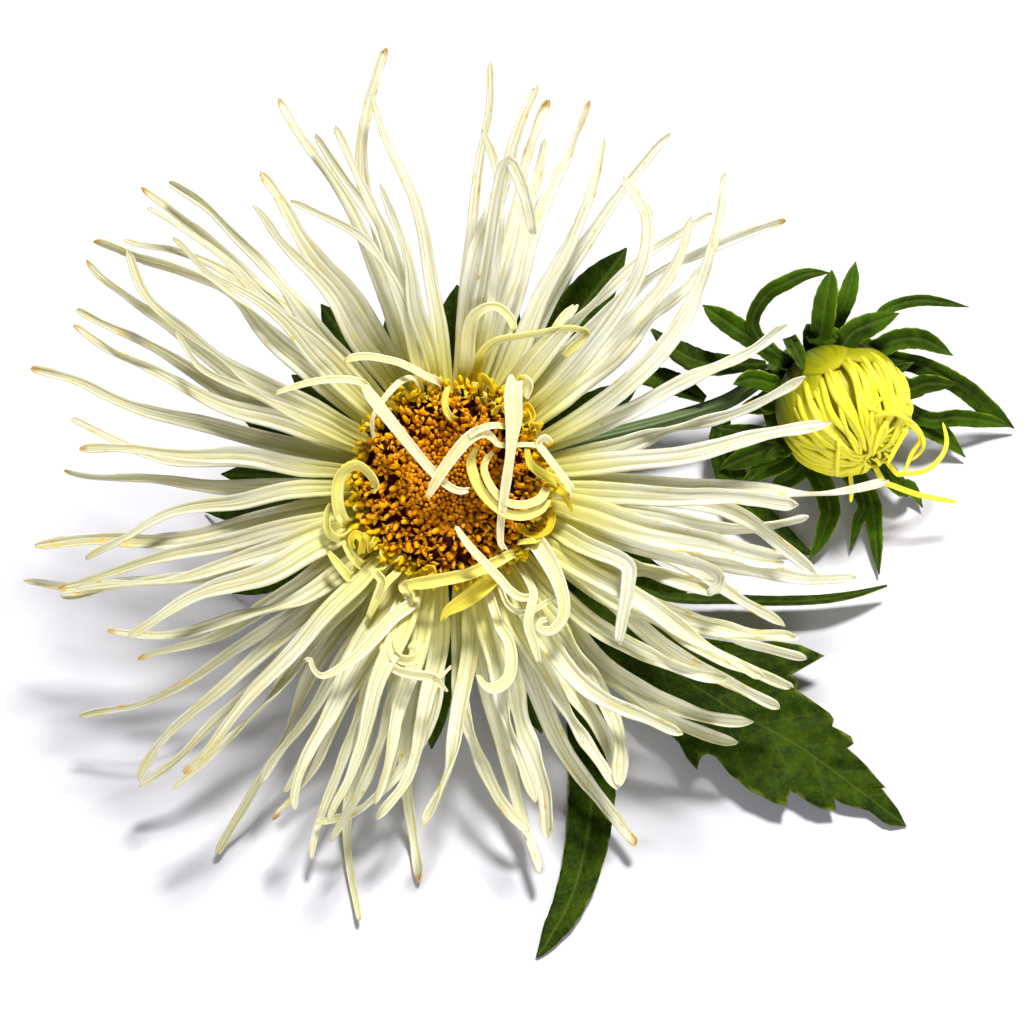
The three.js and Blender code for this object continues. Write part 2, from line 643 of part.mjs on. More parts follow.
// Plain leaves: width, face direction, then [across, up, height] from the stem to the tip
const PLAIN_LEAVES = {
  leaf_lower: [7.4, [0, 0, 1], [3.6, 0, 4.4], [12, -12, 2.4], [21, -34, 1.2], [21, -52, 1.2],
    [13.7, -74.7, 0.45]],
  leaf_right: [5.6, [0, -1, 0.2], [17.2, 3.3, 6.5], [22, -4, 6.3], [33, -15, 4.6], [52, -18.6, 3.8],
    [68.6, -16.3, 3.4]],
  branch_leaf_top: [5, [0, 0, 1], [49.6, 18.5, 13.2], [45, 18.4, 15], [39.6, 18.7, 16.6], [31.6, 24, 18.5]],
  branch_leaf_mid: [4.6, [0, 0, 1], [40, 12.9, 11.4], [36, 15, 12.5], [31, 16.5, 13], [27, 15.5, 12.6]],
  branch_leaf_low: [5.4, [0, 0, 1], [43.4, 11.2, 7.4], [42.6, 6, 6], [46, -3, 3.2], [57, -11.5, 1.2]],
};

function makePlainLeaf([width, face, ...points]) {
  const path = seenPath(points, 2);
  return lance(path, new THREE.Vector3(...face), width, LEAF_THICKNESS);
}

// Bud: a globe of furled rays that looks to the front right, on a ring of leafy bracts
const BUD_CENTRE = lowPoint(61.7, 11.6, 17);
const BUD_AXIS = new THREE.Vector3(0.46, -0.847, 0.267).normalize();
const BUD_ACROSS = new THREE.Vector3(0, 0, 1).cross(BUD_AXIS).normalize();
const BUD_UPRIGHT = BUD_AXIS.clone().cross(BUD_ACROSS);
const BUD_SIDES = 36;
const BUD_RIDGE = 0.35;

function budPoint(along, reach, angle) {
  return BUD_CENTRE.clone().addScaledVector(BUD_AXIS, along)
    .addScaledVector(BUD_ACROSS, reach * Math.cos(angle))
    .addScaledVector(BUD_UPRIGHT, reach * Math.sin(angle));
}

function makeStem() {
  const path = smooth(STEM_PATH, 2);
  path.forEach((point) => {
    point.z = Math.max(point.z, STEM_RADIUS);
  });
  const neck = BRANCH_NECK.map(([along, reach]) => budPoint(along * BUD_RADIUS, reach * BUD_RADIUS, 0));
  const seen = BRANCH_SEEN.map(([a, b, z]) => lowPoint(a, b, z));
  const branch = rod(smooth([BRANCH_FOOT, ...seen, ...neck], 2), BRANCH_RADIUS, 6);
  return fuse([rod(path, STEM_RADIUS, 8), branch]);
}

// The globe's outline, in shares of its radius: distance along its axis and radius there
const BUD_PROFILE = [[-0.855, 0.42], [-0.69, 0.71], [-0.36, 0.93], [0, 1], [0.36, 0.91],
  [0.67, 0.65], [0.84, 0.36]];
const BUD_FOOT = -0.87;
const BUD_TOP = 0.89;
const BUD_CUP = [[-1.145, 0], [-1.145, 0.18], [-1.02, 0.4], [BUD_FOOT - 0.035, 0.49],
  [BUD_FOOT - 0.035, 0]];

// Curled tips of the bud's rays: width, then [across, up, height] as seen
const BUD_CURLS = [
  [1.6, [66, 14, 24], [70.4, 12.6, 21], [74.2, 8.4, 15], [73, 2, 10], [68, -0.4, 9]],
  [1.5, [69, 0.6, 12], [74, 1.4, 9], [77.4, 4.6, 9.4], [76.9, 10, 12]],
  [1.6, [66, 1, 13], [71, -0.4, 9], [79.6, -2.6, 7]],
  [1.5, [62, 3, 22], [60.4, -1, 17], [59.6, -6.6, 12]],
  [1.6, [67, 18, 23], [69.6, 20.4, 20], [72.4, 19.6, 17], [73, 15.6, 14]],
];

function makeBudFlorets() {
  const rings = BUD_PROFILE.map(([along, reach], row) => Array.from({ length: BUD_SIDES }, (_, k) => {
    const ridge = (k % 2 ? BUD_RIDGE : -BUD_RIDGE) * (row > 1 ? 1 : 0.3);
    const angle = (2 * Math.PI * (k + 0.6 * row)) / BUD_SIDES;
    return budPoint(along * BUD_RADIUS, reach * BUD_RADIUS + ridge, angle);
  }));
  const [foot, top] = [BUD_FOOT, BUD_TOP].map((along) => [budPoint(along * BUD_RADIUS, 0, 0)]);
  const globe = solidFrom(ringMesh([foot, ...rings, top]));
  const curls = BUD_CURLS.map(([width, ...points]) => {
    const path = seenPath(points, 3);
    const inside = path[0].clone().lerp(BUD_CENTRE, 0.35);
    return strap([inside, ...path], path[1].clone().sub(BUD_CENTRE), () => width, BENT_KEEL, true);
  });
  return fuse([globe, ...curls]);
}

// Bracts of the bud: tip as [across, up, height] as seen, and width
const BUD_BRACTS = [
  [39.6, 27.9, 23, 4.6],
  [46.5, 29.5, 27, 3.6],
  [59.3, 32.7, 33, 4],
  [63.1, 34.5, 31, 3.4],
  [69.7, 26.9, 26, 4.6],
  [80.7, 27.8, 18, 3.8],
  [78, 20.4, 12, 4.6],
  [72.5, 19.4, 14, 3.4],
  [87.6, 8.9, 1.4, 4.8],
  [78.8, 15.9, 7, 4.2],
  [80, 4.8, 1.2, 4.6],
  [73.3, -3.3, 1.2, 4],
  [66.7, -13.3, 1.2, 4],
  [62.2, -9.8, 3.4, 3.6],
  [56, -11.6, 5.2, 5],
  [44.3, 16, 19, 3.8],
  [48.8, 4, 12, 3.6],
  [52.6, 23, 27, 3.2],
];

function makeBudBracts() {
  const profile = BUD_CUP.map(([along, reach]) => [reach * BUD_RADIUS, along * BUD_RADIUS]);
  const cup = turned(profile, BUD_CENTRE, BUD_AXIS, BUD_ACROSS, 16);
  const bracts = BUD_BRACTS.map(([a, b, z, width]) => {
    const tip = lowPoint(a, b, z);
    const offset = tip.clone().sub(BUD_CENTRE);
    const across = offset.clone().addScaledVector(BUD_AXIS, -offset.dot(BUD_AXIS)).normalize();
    const at = (along, reach) => BUD_CENTRE.clone().addScaledVector(BUD_AXIS, along)
      .addScaledVector(across, reach);
    const path = arch([at(-10.8, 4), at(-10.8, 13), at(-3, 18), tip], BRACT_STEPS);
    return lance(path, BUD_AXIS, width, BRACT_THICKNESS);
  });
  return fuse([cup, ...bracts]);
}

// The flower, as a group of named meshes
const flower = new THREE.Group();

function addPiece(name, solid, look) {
  const { vertProperties, triVerts } = solid.getMesh();
  const geometry = new THREE.BufferGeometry();
  geometry.setAttribute('position', new THREE.BufferAttribute(vertProperties, 3));
  geometry.setIndex(new THREE.BufferAttribute(triVerts, 1));
  const mesh = new THREE.Mesh(mergeVertices(geometry), new THREE.MeshStandardMaterial(look));
  mesh.name = name;
  flower.add(mesh);
}

addPiece('ray_florets', makeRayFlorets(), CREAM);
addPiece('disc_florets', makeDiscFlorets(), DISC_GOLD);
addPiece('involucre', makeInvolucre(), LEAF_GREEN);
addPiece('stem', makeStem(), STEM_GREEN);
addPiece('leaf_toothed', makeToothedLeaf(), LEAF_GREEN);
for (const [name, leaf] of Object.entries(PLAIN_LEAVES)) {
  addPiece(name, makePlainLeaf(leaf), LEAF_GREEN);
}
addPiece('bud_florets', makeBudFlorets(), BUD_YELLOW);
addPiece('bud_bracts', makeBudBracts(), LEAF_GREEN);

export default flower;
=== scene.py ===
"""A cut quilled aster with one open bloom, its leafy involucre, a bent stem, leaves and a side bud.

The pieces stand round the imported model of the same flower. Readings are millimetres of the bloom's own
face, as (across, up its face, out from it), or a height above the surface; meshes are made in metres.
"""

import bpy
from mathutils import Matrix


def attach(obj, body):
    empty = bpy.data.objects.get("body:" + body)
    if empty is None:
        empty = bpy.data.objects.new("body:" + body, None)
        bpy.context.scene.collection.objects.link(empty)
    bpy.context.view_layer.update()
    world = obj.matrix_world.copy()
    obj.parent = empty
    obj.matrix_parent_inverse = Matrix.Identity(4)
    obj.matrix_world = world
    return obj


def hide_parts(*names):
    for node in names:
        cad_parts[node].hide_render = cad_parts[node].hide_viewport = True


bl_info = {
    "name": "Quilled aster",
    "version": (1, 0, 0),
    "blender": (4, 5, 0),
    "location": "View3D > Sidebar > Aster",
    "description": "Builds the rays, disc, leaves, stem and bud of a cut quilled aster",
    "category": "Add Mesh",
}

import math
from collections import namedtuple

import bpy
import numpy as np
from bpy.props import (
    FloatProperty, FloatVectorProperty, IntProperty, PointerProperty,
)
from mathutils import Matrix, Vector

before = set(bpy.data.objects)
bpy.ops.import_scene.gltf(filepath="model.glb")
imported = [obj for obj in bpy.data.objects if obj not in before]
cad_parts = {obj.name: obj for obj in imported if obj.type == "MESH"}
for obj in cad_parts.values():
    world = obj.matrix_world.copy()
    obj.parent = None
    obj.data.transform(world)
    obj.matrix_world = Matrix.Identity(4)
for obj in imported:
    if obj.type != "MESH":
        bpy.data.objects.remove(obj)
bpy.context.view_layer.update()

MM = 0.001
BODY = "root"

# The bloom's own frame: centre of the disc, and its right, up its face and out of it
BLOOM_TILT = math.radians(30)
HEAD = np.array([-12.0, -45.0, 38.0])
RIGHT = np.array([1.0, 0.0, 0.0])
UP = np.array([0.0, math.cos(BLOOM_TILT), math.sin(BLOOM_TILT)])
AXIS = np.array([0.0, -math.sin(BLOOM_TILT), math.cos(BLOOM_TILT)])
SKYWARD = np.array([0.0, 0.0, 1.0])

# The flower's places are read from this far in front of the bloom, round this point of its face
VIEW_DISTANCE = 447.0
VIEW_MIDDLE = (9.7, -4.7)

# Disc: radius, rise of its dome, and height of the dome's edge out of the face
DISC_RADIUS = 13.4
DISC_RISE = 3.4
DISC_FOOT = 1.25
# Dish that the rays stand in, and the green cup under it, with depths below the face
DISH_RADIUS = 15.0
DISH_DEPTH = 8.0
CUP_DEPTH = 16.0
STEM_RADIUS = 2.1
BRANCH_RADIUS = 1.3
BUD_RADIUS = 11.0
# Gap between the dish and the disc over it, and between the dish and the cup under it
GAP = 0.35
GOLDEN_ANGLE = math.radians(137.508)

# Millimetres in one unit of the UV maps: across a leaf, and along a leaf or a ray
UV_WIDTH = 40.0
UV_LENGTH = 100.0

# First random seed of each kind of piece
OUTER_RAY_SEED = 1000
LOOSE_RAY_SEED = 1200
INNER_RAY_SEED = 1300
RIM_CURL_SEED = 1350
BLOOM_BRACT_SEED = 1400
PLAIN_LEAF_SEED = 1500
BUD_PETAL_SEED = 1600
BUD_SCALE_SEED = 1700
BUD_BRACT_SEED = 1800

# A row of the outer rays
Ray = namedtuple("Ray", "foot middle middle_reach tip tip_reach width")

# Outer rays, read round the bloom from its right: azimuth at the foot, azimuth and reach at the middle,
# azimuth and reach at the tip, and width
OUTER_RAYS = (
    (361, 358.6, 50, 360.5, 69, 2.8),
    (7, 7.8, 47, 8.7, 60.5, 2.8),
    (11.5, 12.6, 40, 16.5, 58, 2.8),
    (21.5, 22.2, 39, 24.5, 58.7, 2.8),
    (24, 35, 45, 48, 65.5, 2.8),
    (38, 39, 40, 39, 53.6, 3.6),
    (48, 42.5, 53, 38, 67, 2.8),
    (41, 44.5, 50, 46.5, 57, 2.8),
    (54, 49.3, 47, 45, 59, 2.6),
    (61, 59.5, 50, 57.5, 65, 2.6),
    (62, 64.5, 50, 65.5, 59.5, 2.8),
    (71, 70.5, 50, 70, 64, 2.6),
    (75, 74, 40, 74.5, 56, 2.6),
    (77, 77, 48, 75.5, 62, 2.6),
    (84, 80.5, 50, 78, 64, 3.4),
    (80, 82.5, 50, 85, 56, 2.6),
    (85, 84.5, 57, 84.5, 66, 2.0),
    (92, 99, 48, 102, 62, 2.2),
    (98, 101.5, 38, 104, 48, 2.6),
    (104, 104.5, 52, 98.5, 69, 2.8),
    (105, 106.5, 52, 108.5, 58.5, 2.4),
    (105, 108, 50, 111, 59, 2.6),
    (108, 111, 50, 113.5, 66, 2.8),
    (107, 112, 43, 119, 51.5, 2.0),
    (117, 120, 45, 122, 57.5, 3.8),
    (121, 124, 38, 127.5, 53, 2.6),
    (131, 131.5, 50, 133, 65, 2.8),
    (134, 134.3, 52, 136.5, 67, 2.8),
    (134.5, 136, 53, 139, 64, 2.4),
    (138.5, 138, 40, 139.5, 58, 2.0),
    (137, 138.5, 55, 141.5, 64.5, 2.0),
    (143, 143, 54, 147, 67, 3.2),
    (151, 149, 50, 145.5, 63, 2.6),
    (154, 151.5, 53, 147, 66.5, 2.6),
    (158, 155, 34, 153, 49.5, 1.8),
    (157, 156, 40, 155.5, 65, 2.6),
    (161, 159.5, 40, 158.5, 64, 2.6),
    (168, 165.5, 50, 164.5, 68, 2.6),
    (171, 173, 50, 170, 60, 2.6),
    (174, 174.5, 40, 174, 58.5, 2.6),
    (182, 180, 50, 177.5, 60.5, 2.6),
    (184, 189, 50, 193.5, 57.5, 2.4),
    (193, 190.5, 44, 189, 66, 3.4),
    (191, 191, 28, 190, 39.5, 2.4),
    (197, 195, 44, 193, 64, 2.6),
    (199, 196, 59, 194, 69, 2.4),
    (204, 200, 47, 194.5, 62.5, 2.6),
    (201, 199, 42, 197, 61, 2.6),
    (220, 209.5, 49, 203.5, 59, 2.6),
    (205, 205, 38, 206, 56, 3.4),
    (210, 213, 45.5, 210.5, 57, 2.6),
    (224, 215.5, 55, 213.5, 69.5, 2.0),
    (226, 221.5, 48, 224.5, 68, 2.6),
    (226, 225, 44, 225.5, 69, 2.6),
    (228, 227, 40, 226.5, 62, 2.4),
    (230, 229, 42, 228, 65, 2.8),
    (232.5, 236, 50, 238.5, 69, 2.6),
    (238, 238.5, 40, 239, 56, 2.6),
    (247, 243.5, 38, 240.5, 55, 1.8),
    (246, 242, 46.6, 245, 57, 3.4),
    (247, 244.3, 46, 242, 60, 2.6),
    (250, 249, 49, 250.5, 63, 2.6),
    (253, 253, 57, 258, 70.5, 2.4),
    (251, 251.5, 40, 251, 57, 2.6),
    (256, 254.5, 42, 252.5, 60, 2.6),
    (262, 256.7, 50, 249, 58, 2.4),
    (258, 258.5, 36, 257.5, 52, 2.8),
    (254, 256, 34, 258.5, 47, 3.0),
    (264, 261, 49, 258.5, 54.5, 2.6),
    (264, 262.5, 53, 265, 63, 2.6),
    (282, 268.5, 45, 264, 53.5, 2.6),
    (276, 276.5, 45, 282, 57, 2.6),
    (283, 284, 36, 285, 52, 2.4),
    (279, 282, 48, 282.5, 63.5, 2.6),
    (286, 286.5, 40, 286.5, 58, 3.4),
    (293, 294.5, 50, 297, 64, 2.8),
    (295, 297, 45, 298.5, 55, 2.6),
    (297, 300.5, 46, 299.5, 55, 3.4),
    (305, 304, 44, 299.7, 55, 2.8),
    (304, 306.6, 44, 313, 53.5, 2.8),
    (310, 312, 47, 318, 61, 2.8),
    (313, 312.5, 44, 321.5, 61, 3.0),
    (315, 318, 41, 325.5, 53, 2.6),
    (327, 323.8, 50.5, 325.5, 63, 2.6),
    (325, 326, 45, 329, 63, 2.6),
    (326, 327.5, 40, 329, 58, 2.6),
    (327, 330, 50, 334, 62.5, 2.8),
    (330, 334.5, 33, 338, 46, 3.2),
    (326, 330, 44, 335.5, 60, 2.8),
    (345, 338.5, 49, 335.5, 57, 2.6),
    (349, 345.4, 39.5, 347, 54.5, 4.6),
    (342, 343.5, 50, 346, 66.3, 2.8),
    (351, 350, 52, 345.7, 59, 2.6),
    (353, 351, 44, 354.5, 56.5, 2.6),
    (356, 356, 40, 356.5, 55, 2.8),
)

# Rays that bend back or hang across their neighbours: width, then (across, up, out) from foot to tip
LOOSE_RAYS = (
    (2.8, (10.8, 9.7, -2), (20, 18.5, 6.5), (29.3, 31.8, 10.6), (31, 41.5, 12), (27, 47.9, 11.6)),
    (2.6, (2.1, 14.8, -2), (5.5, 34, 7.6), (8.5, 50, 11), (11.4, 46, 12.8), (13, 38.9, 12)),
    (2.8, (13.9, -5.6, -2), (20.5, -9.6, 5), (27.4, -12.7, 8.4), (27.9, -16, 9), (27.1, -21, 9),
     (26.3, -25.4, 8.6)),
    (2.8, (14.2, -4.9, -2), (27, -9.6, 7), (39.8, -13.2, 10.4), (42.4, -15.4, 10.2), (40.3, -17.7, 9.4)),
)

# Curled inner rays: how far each is turned from facing the viewer, in degrees, how yellow it is, then
# (across, up, out, width) from foot to tip. The first ones cross the disc; the rest go round its rim.
INNER_RAYS = (
    (0, 0.1, (-12.2, 12.8, 3, 0.9), (-13.6, 15.3, 8.5, 0.7), (-12.4, 13.5, 10, 1.7),
     (-9.6, 9.9, 10.4, 1.7), (-6.3, 5.8, 10.4, 1.5), (-3, 1.9, 10, 1.3), (-0.3, -0.6, 9.4, 1),
     (1.6, -1.4, 9, 0.9), (3.1, -1.2, 8.8, 0.6)),
    (10, 0.05, (-11.8, 13.2, 4, 0.8), (-13.4, 15.4, 7, 0.9), (-16.5, 16.2, 8, 1), (-20.4, 16, 8, 1),
     (-24, 15.2, 7.4, 0.9), (-27.5, 14, 6.5, 0.5)),
    (20, 0.15, (-5.3, 16, 3, 0.8), (-7, 16.3, 5, 0.9), (-8.8, 15, 6.2, 0.9), (-10.5, 13, 7, 0.8),
     (-11.8, 11.2, 7, 0.6), (-12.4, 9, 6.4, 0.5), (-12, 6.9, 6, 0.4)),
    (25, 0.2, (-1.2, 15, 1.5, 1), (-2, 15.9, 4.4, 1.1), (-3.6, 16.6, 5.6, 1.1), (-5.8, 17.8, 6.4, 1.1),
     (-8, 18.8, 6.8, 1.1), (-10.4, 19.4, 6.6, 1.1), (-13, 19.8, 6.2, 1.1), (-15.4, 19.6, 5.6, 1.1),
     (-16.8, 18.9, 5, 0.7)),
    (0, 0.12, (10, 13.2, 3, 1), (10.8, 15.4, 7, 1.2), (10.4, 16.5, 9.5, 1.9), (10, 15, 11, 2.5),
     (9.9, 12.6, 11.6, 2.7), (10, 9.7, 11.6, 2.5), (9.7, 6.9, 11.4, 1.8), (9.4, 3.9, 11, 1.4),
     (8.9, 0.5, 10, 1.5), (8.3, -3.6, 8.6, 1.3), (7.9, -7.4, 7.4, 1.1), (8, -9.7, 6.8, 0.9),
     (8.8, -10.8, 6.4, 0.6)),
    (35, 0.15, (10.6, 16.2, 9.4, 0.9), (11.7, 16.2, 9.8, 1.1), (12.4, 15.3, 9.8, 1.1), (12.2, 14.2, 9.4, 1),
     (11.8, 13.1, 9, 0.7)),
    (0, 0.2, (15, 4.9, 3, 0.8), (13.8, 5.7, 6.5, 0.6), (11.9, 5.9, 8.6, 0.6), (9.6, 5.8, 9.6, 0.6),
     (7.6, 5.9, 10, 0.7), (6.6, 7, 10.4, 1), (5.4, 7.8, 10.8, 1.5), (4, 7.6, 11, 1.8),
     (2.5, 6.5, 11.2, 1.8), (1, 4.8, 11.2, 1.7), (-0.8, 2.4, 10.8, 1.6), (-2.3, 0, 10.2, 1.4),
     (-3.6, -2.5, 9.4, 0.8)),
    (30, 0.2, (9.7, 8.7, 10, 0.9), (6.9, 9, 10.8, 1), (4.6, 8.4, 11, 1), (2.8, 7, 11, 0.5)),
    (20, 0.1, (17, -2, 1, 1.2), (19.3, -1.7, 4.5, 1.5), (18.6, -0.3, 6.4, 1.6), (16.8, 2.2, 8, 1.4),
     (15, 4.6, 8.8, 1.4), (14, 6, 9, 1.3), (14.9, 6.9, 8.8, 1.1), (15.8, 6, 8.2, 0.9)),
    (25, 0.7, (16.5, -0.3, 2, 1.4), (17, 0, 5, 1.4), (14.4, 1.4, 6.4, 1.4), (12.6, 3, 7.4, 1.2),
     (12.1, 5.3, 8.2, 0.8)),
    (0, 0.9, (16, -0.6, 3, 1.3), (17.6, -1.6, 4.4, 1.2), (18.6, -3.2, 4.2, 0.8), (19.2, -4.6, 3.6, 0.3)),
    (30, 0.5, (15.2, -2.6, 2, 1), (15.4, -2.4, 5, 1.2), (14.2, -4.2, 7, 1.4), (11.8, -5.2, 7.8, 1.5),
     (9, -4.9, 8.2, 1.5), (6.6, -3.3, 8.4, 1.5), (4.6, -0.8, 8.6, 1.7), (3.5, 1.9, 8.8, 1.7),
     (3.4, 3.8, 8.8, 1.3), (4.3, 5.5, 8.6, 0.6)),
    (30, 0.4, (14.8, -1.2, 2, 1), (15.2, -0.6, 5, 1.2), (14.2, -2.5, 7, 1.3), (11.6, -3.5, 7.8, 1.3),
     (8.7, -3, 8.2, 1.3), (6.6, -0.9, 8.4, 1.3), (5.4, 1.8, 8.6, 1.2), (5.8, 3.6, 8.6, 1),
     (6.9, 4.8, 8.4, 0.6)),
    (45, 1, (15, -4, 1, 1.1), (15.9, -5.6, 3.6, 1.2), (15.2, -7.6, 4.8, 1.2), (13.2, -8.4, 5.4, 1.1),
     (11.4, -7.5, 5.4, 0.9), (10.8, -6.4, 5, 0.5)),
    (0, 0.15, (12, -9.6, 2, 2), (13.4, -9.4, 5.5, 2.6), (15.1, -11.8, 7, 2.6), (16.8, -15.2, 7.6, 2.2),
     (17.8, -18.6, 7.6, 1.9), (17.6, -21.4, 7.2, 1.7), (16, -23.3, 6.8, 1.5), (14.2, -23.2, 6.8, 1.2),
     (14.2, -21.9, 7, 1), (15.4, -21.6, 7, 0.7)),
    (40, 0.6, (13.6, -8.8, 5.6, 1), (12, -9.2, 6.2, 0.9), (10.4, -9.4, 5.6, 0.8)),
    (10, 0.08, (11.4, -14, 1, 1), (13.4, -17.4, 4.6, 1), (11.6, -18.2, 7, 1.1), (9.6, -17.2, 8.4, 1.2),
     (7.6, -15, 9, 1.3), (5, -12.2, 9.4, 1.2), (2.6, -9.5, 9.2, 1.1), (0.9, -6.9, 8.8, 0.6)),
    (10, 0.1, (11, -13.4, 1.5, 1), (13, -17, 5.5, 1.2), (12.7, -19.6, 7, 1.4), (12.2, -22.4, 7, 1.4),
     (13.2, -25.8, 6.4, 1.2), (14, -28.6, 5.6, 0.6)),
    (0, 0.55, (10.6, -11.4, 2, 1.2), (9.8, -11.2, 4.6, 1.4), (6.6, -12.9, 6.2, 1.6), (2.6, -14.5, 6.6, 1.7),
     (-1.6, -15.4, 6.4, 1.8), (-4.7, -15.9, 5.8, 1.8), (-7.2, -16.2, 5, 1.3)),
    (50, 1, (-5.4, -14.6, 1.6, 1), (-4.6, -14.4, 4, 1), (-3.2, -13.5, 5, 0.9), (-2.6, -14.2, 5.4, 0.8),
     (-3.6, -14.8, 5.2, 0.5)),
    (0, 0.8, (7.6, -13.8, 1.6, 1.8), (6.6, -15.2, 3.8, 2.3), (4.4, -17, 4.8, 2.6), (1.8, -18.9, 5, 2.3),
     (-0.4, -20.3, 4.8, 1.5), (-1.3, -22, 4.4, 0.6)),
    (0, 0.12, (5.6, -16, 0.5, 1.3), (6.9, -20.2, 3.4, 1.3), (7.7, -22.6, 5.2, 1.4), (9.1, -25, 6.6, 1.6),
     (9.6, -27.8, 7.2, 1.8), (9, -30.9, 7.2, 1.8), (7, -32.4, 7, 1.6), (5.4, -31.9, 6.8, 1),
     (4.3, -30.3, 6.6, 0.5)),
    (20, 0.2, (7.4, -15.6, 2, 1), (8.9, -19.2, 4.6, 1), (11.4, -20.6, 5.6, 1), (13.8, -19.8, 5.8, 0.9),
     (16.4, -18, 5.4, 0.6)),
    (30, 0.5, (-15.4, -6.6, 1.5, 1.6), (-16.8, -6, 4.5, 1.9), (-17.6, -3.6, 6.2, 2), (-17.6, -0.4, 7, 2),
     (-16.6, 1.7, 7.4, 1.9), (-14.6, 2.6, 7.6, 1.8), (-12.8, 1.2, 7.6, 1.7), (-11.9, -0.4, 7.4, 1.6),
     (-12.5, -1.5, 7, 1)),
    (-30, 0.5, (-15, -7, 1, 1.4), (-15.9, -8.3, 3.6, 1.6), (-17.6, -9, 4.6, 1.7), (-19.2, -7.9, 5, 1.7),
     (-19.6, -5.8, 5.2, 1.5), (-18.8, -3.6, 5.2, 1.2), (-18, -4.8, 5.4, 1), (-17, -6.4, 5.6, 0.6)),
    (45, 0.85, (-13.2, -9.4, 1.6, 1.2), (-14, -11.6, 4, 1.3), (-13.7, -9.2, 5.2, 1.3),
     (-14.9, -8.1, 5.4, 1.2), (-15.8, -9.3, 5.2, 1), (-15.2, -10.6, 4.8, 0.6)),
    (40, 0.8, (-12.4, -10.6, 2, 1), (-12.8, -9, 5, 0.9), (-13.8, -8, 5.6, 0.5)),
    (20, 0.5, (-13, -12.8, 1, 1.3), (-14.4, -12.6, 3.6, 1.4), (-15.8, -11, 4.4, 1.2), (-17, -9, 4.4, 0.5)),
    (10, 0.5, (-13.8, -12.6, 1, 1.4), (-15.4, -15, 3.2, 1.5), (-16.8, -13.9, 4.4, 1.3),
     (-18.2, -12.2, 4.6, 1.1), (-19.2, -11, 4.4, 0.6)),
    (10, 0.45, (-10.6, -13.2, 2.4, 1.1), (-12, -13.9, 4.4, 1.2), (-10.8, -15.6, 4.6, 1.3),
     (-11.6, -18.2, 4.2, 1.3), (-13, -21.4, 3.4, 0.9)),
    (10, 0.4, (-8, -13.6, 2.6, 1.1), (-8.6, -14.4, 4.2, 1.1), (-10.2, -16, 4.4, 1.1),
     (-11.4, -18.6, 4, 0.8)),
    (0, 0.4, (-7.6, -16, 2.4, 1.2), (-6.6, -17.6, 3.6, 1.1), (-6.2, -19.6, 3.4, 0.6)),
    (0, 0.12, (-5.6, -16.4, 1, 1.6), (-5.9, -18.9, 3.4, 1.8), (-8.9, -21.2, 5, 1.9), (-11.5, -24.1, 6, 1.8),
     (-14, -26.7, 6.6, 1.6), (-16.5, -28.7, 6.8, 1.3), (-19.1, -30.2, 6.8, 1), (-20.6, -30.4, 6.7, 0.8),
     (-21.7, -29.2, 6.6, 0.7), (-22.1, -27.9, 6.4, 0.7), (-22.9, -28.1, 6.2, 0.5)),
    (20, 0.15, (-8, -18, 1, 1.5), (-10, -22.4, 4, 1.6), (-10.5, -25.6, 5.6, 1.6),
     (-10.2, -27.8, 6.4, 1.5), (-8.4, -29.6, 7, 1.4), (-5.6, -30.3, 7, 1.6), (-3, -30.7, 6.8, 1.6),
     (-1.6, -31.9, 6.6, 1), (-0.6, -33, 6.4, 0.5)),
    (30, 0.3, (-7.6, -18.4, 1, 1.4), (-9.4, -24, 4.4, 1.5), (-9.2, -26.6, 6, 1.6), (-7.6, -28, 6.8, 1.7),
     (-5.4, -27.8, 7.2, 1.6), (-4.5, -26.2, 7.2, 1.2), (-5.6, -25.4, 7, 1), (-6.6, -26.2, 6.8, 0.7)),
    (0, 0.1, (-2.6, -30.6, 6.8, 0.9), (-1.4, -30.4, 6.8, 0.6), (0.2, -28.9, 6.6, 0.2)),
    (0, 0.4, (4, 16.5, 0, 1.3), (4.5, 18.9, 2, 1.6), (5.3, 20.5, 4, 1.6), (6.75, 21.8, 5.2, 1.5),
     (8.6, 22.5, 6, 1.2), (11.2, 22.9, 6.6, 1.1), (14.4, 23.4, 7, 1.1), (16.8, 23.9, 7, 1.1),
     (19.2, 24.1, 6.6, 1), (21.2, 23.6, 6, 0.9), (21.5, 22.9, 5.6, 0.9), (20.4, 22, 5.4, 1.1),
     (19.2, 21, 5.2, 1.3), (17.7, 19.6, 4.6, 0.8)),
    (0, 0.2, (7.5, 13.5, -1, 1.2), (10.5, 17.5, 3, 1.4), (13.5, 21, 5.6, 1.2), (16, 23.6, 6.8, 1),
     (17.6, 25.7, 7, 1.2), (19, 27, 6.8, 1.3), (19.9, 28.1, 6.2, 0.7)),
    (0, 0.3, (1.6, 15.4, -1, 1.5), (2.5, 18.8, 2, 2.4), (2.8, 23, 4, 2.3), (3.5, 25.7, 5.4, 1.8),
     (5.3, 27.3, 6.4, 1.3), (7.2, 27.6, 6.6, 1.2), (8.8, 26.5, 6.4, 1.2), (9.7, 25.1, 6.2, 1.2),
     (10, 23.7, 6, 0.8)),
    (40, 0.9, (4.6, 15, 2.6, 1.2), (4.8, 16.4, 4.6, 1.4), (6, 15.4, 5.4, 1.3), (6.2, 14.2, 5, 0.7)),
    (40, 0.9, (6.8, 11.8, 3, 0.9), (6.9, 10.4, 5, 0.9), (7.4, 11.5, 5.8, 0.8), (8.2, 11.8, 5.8, 0.5)),
    (30, 0.9, (11.7, 11.9, 3, 1.2), (12.9, 10.3, 4.6, 1.1), (12.4, 9, 5.4, 0.9), (13.6, 8.8, 5.4, 0.8),
     (13.8, 7.8, 5, 0.5)),
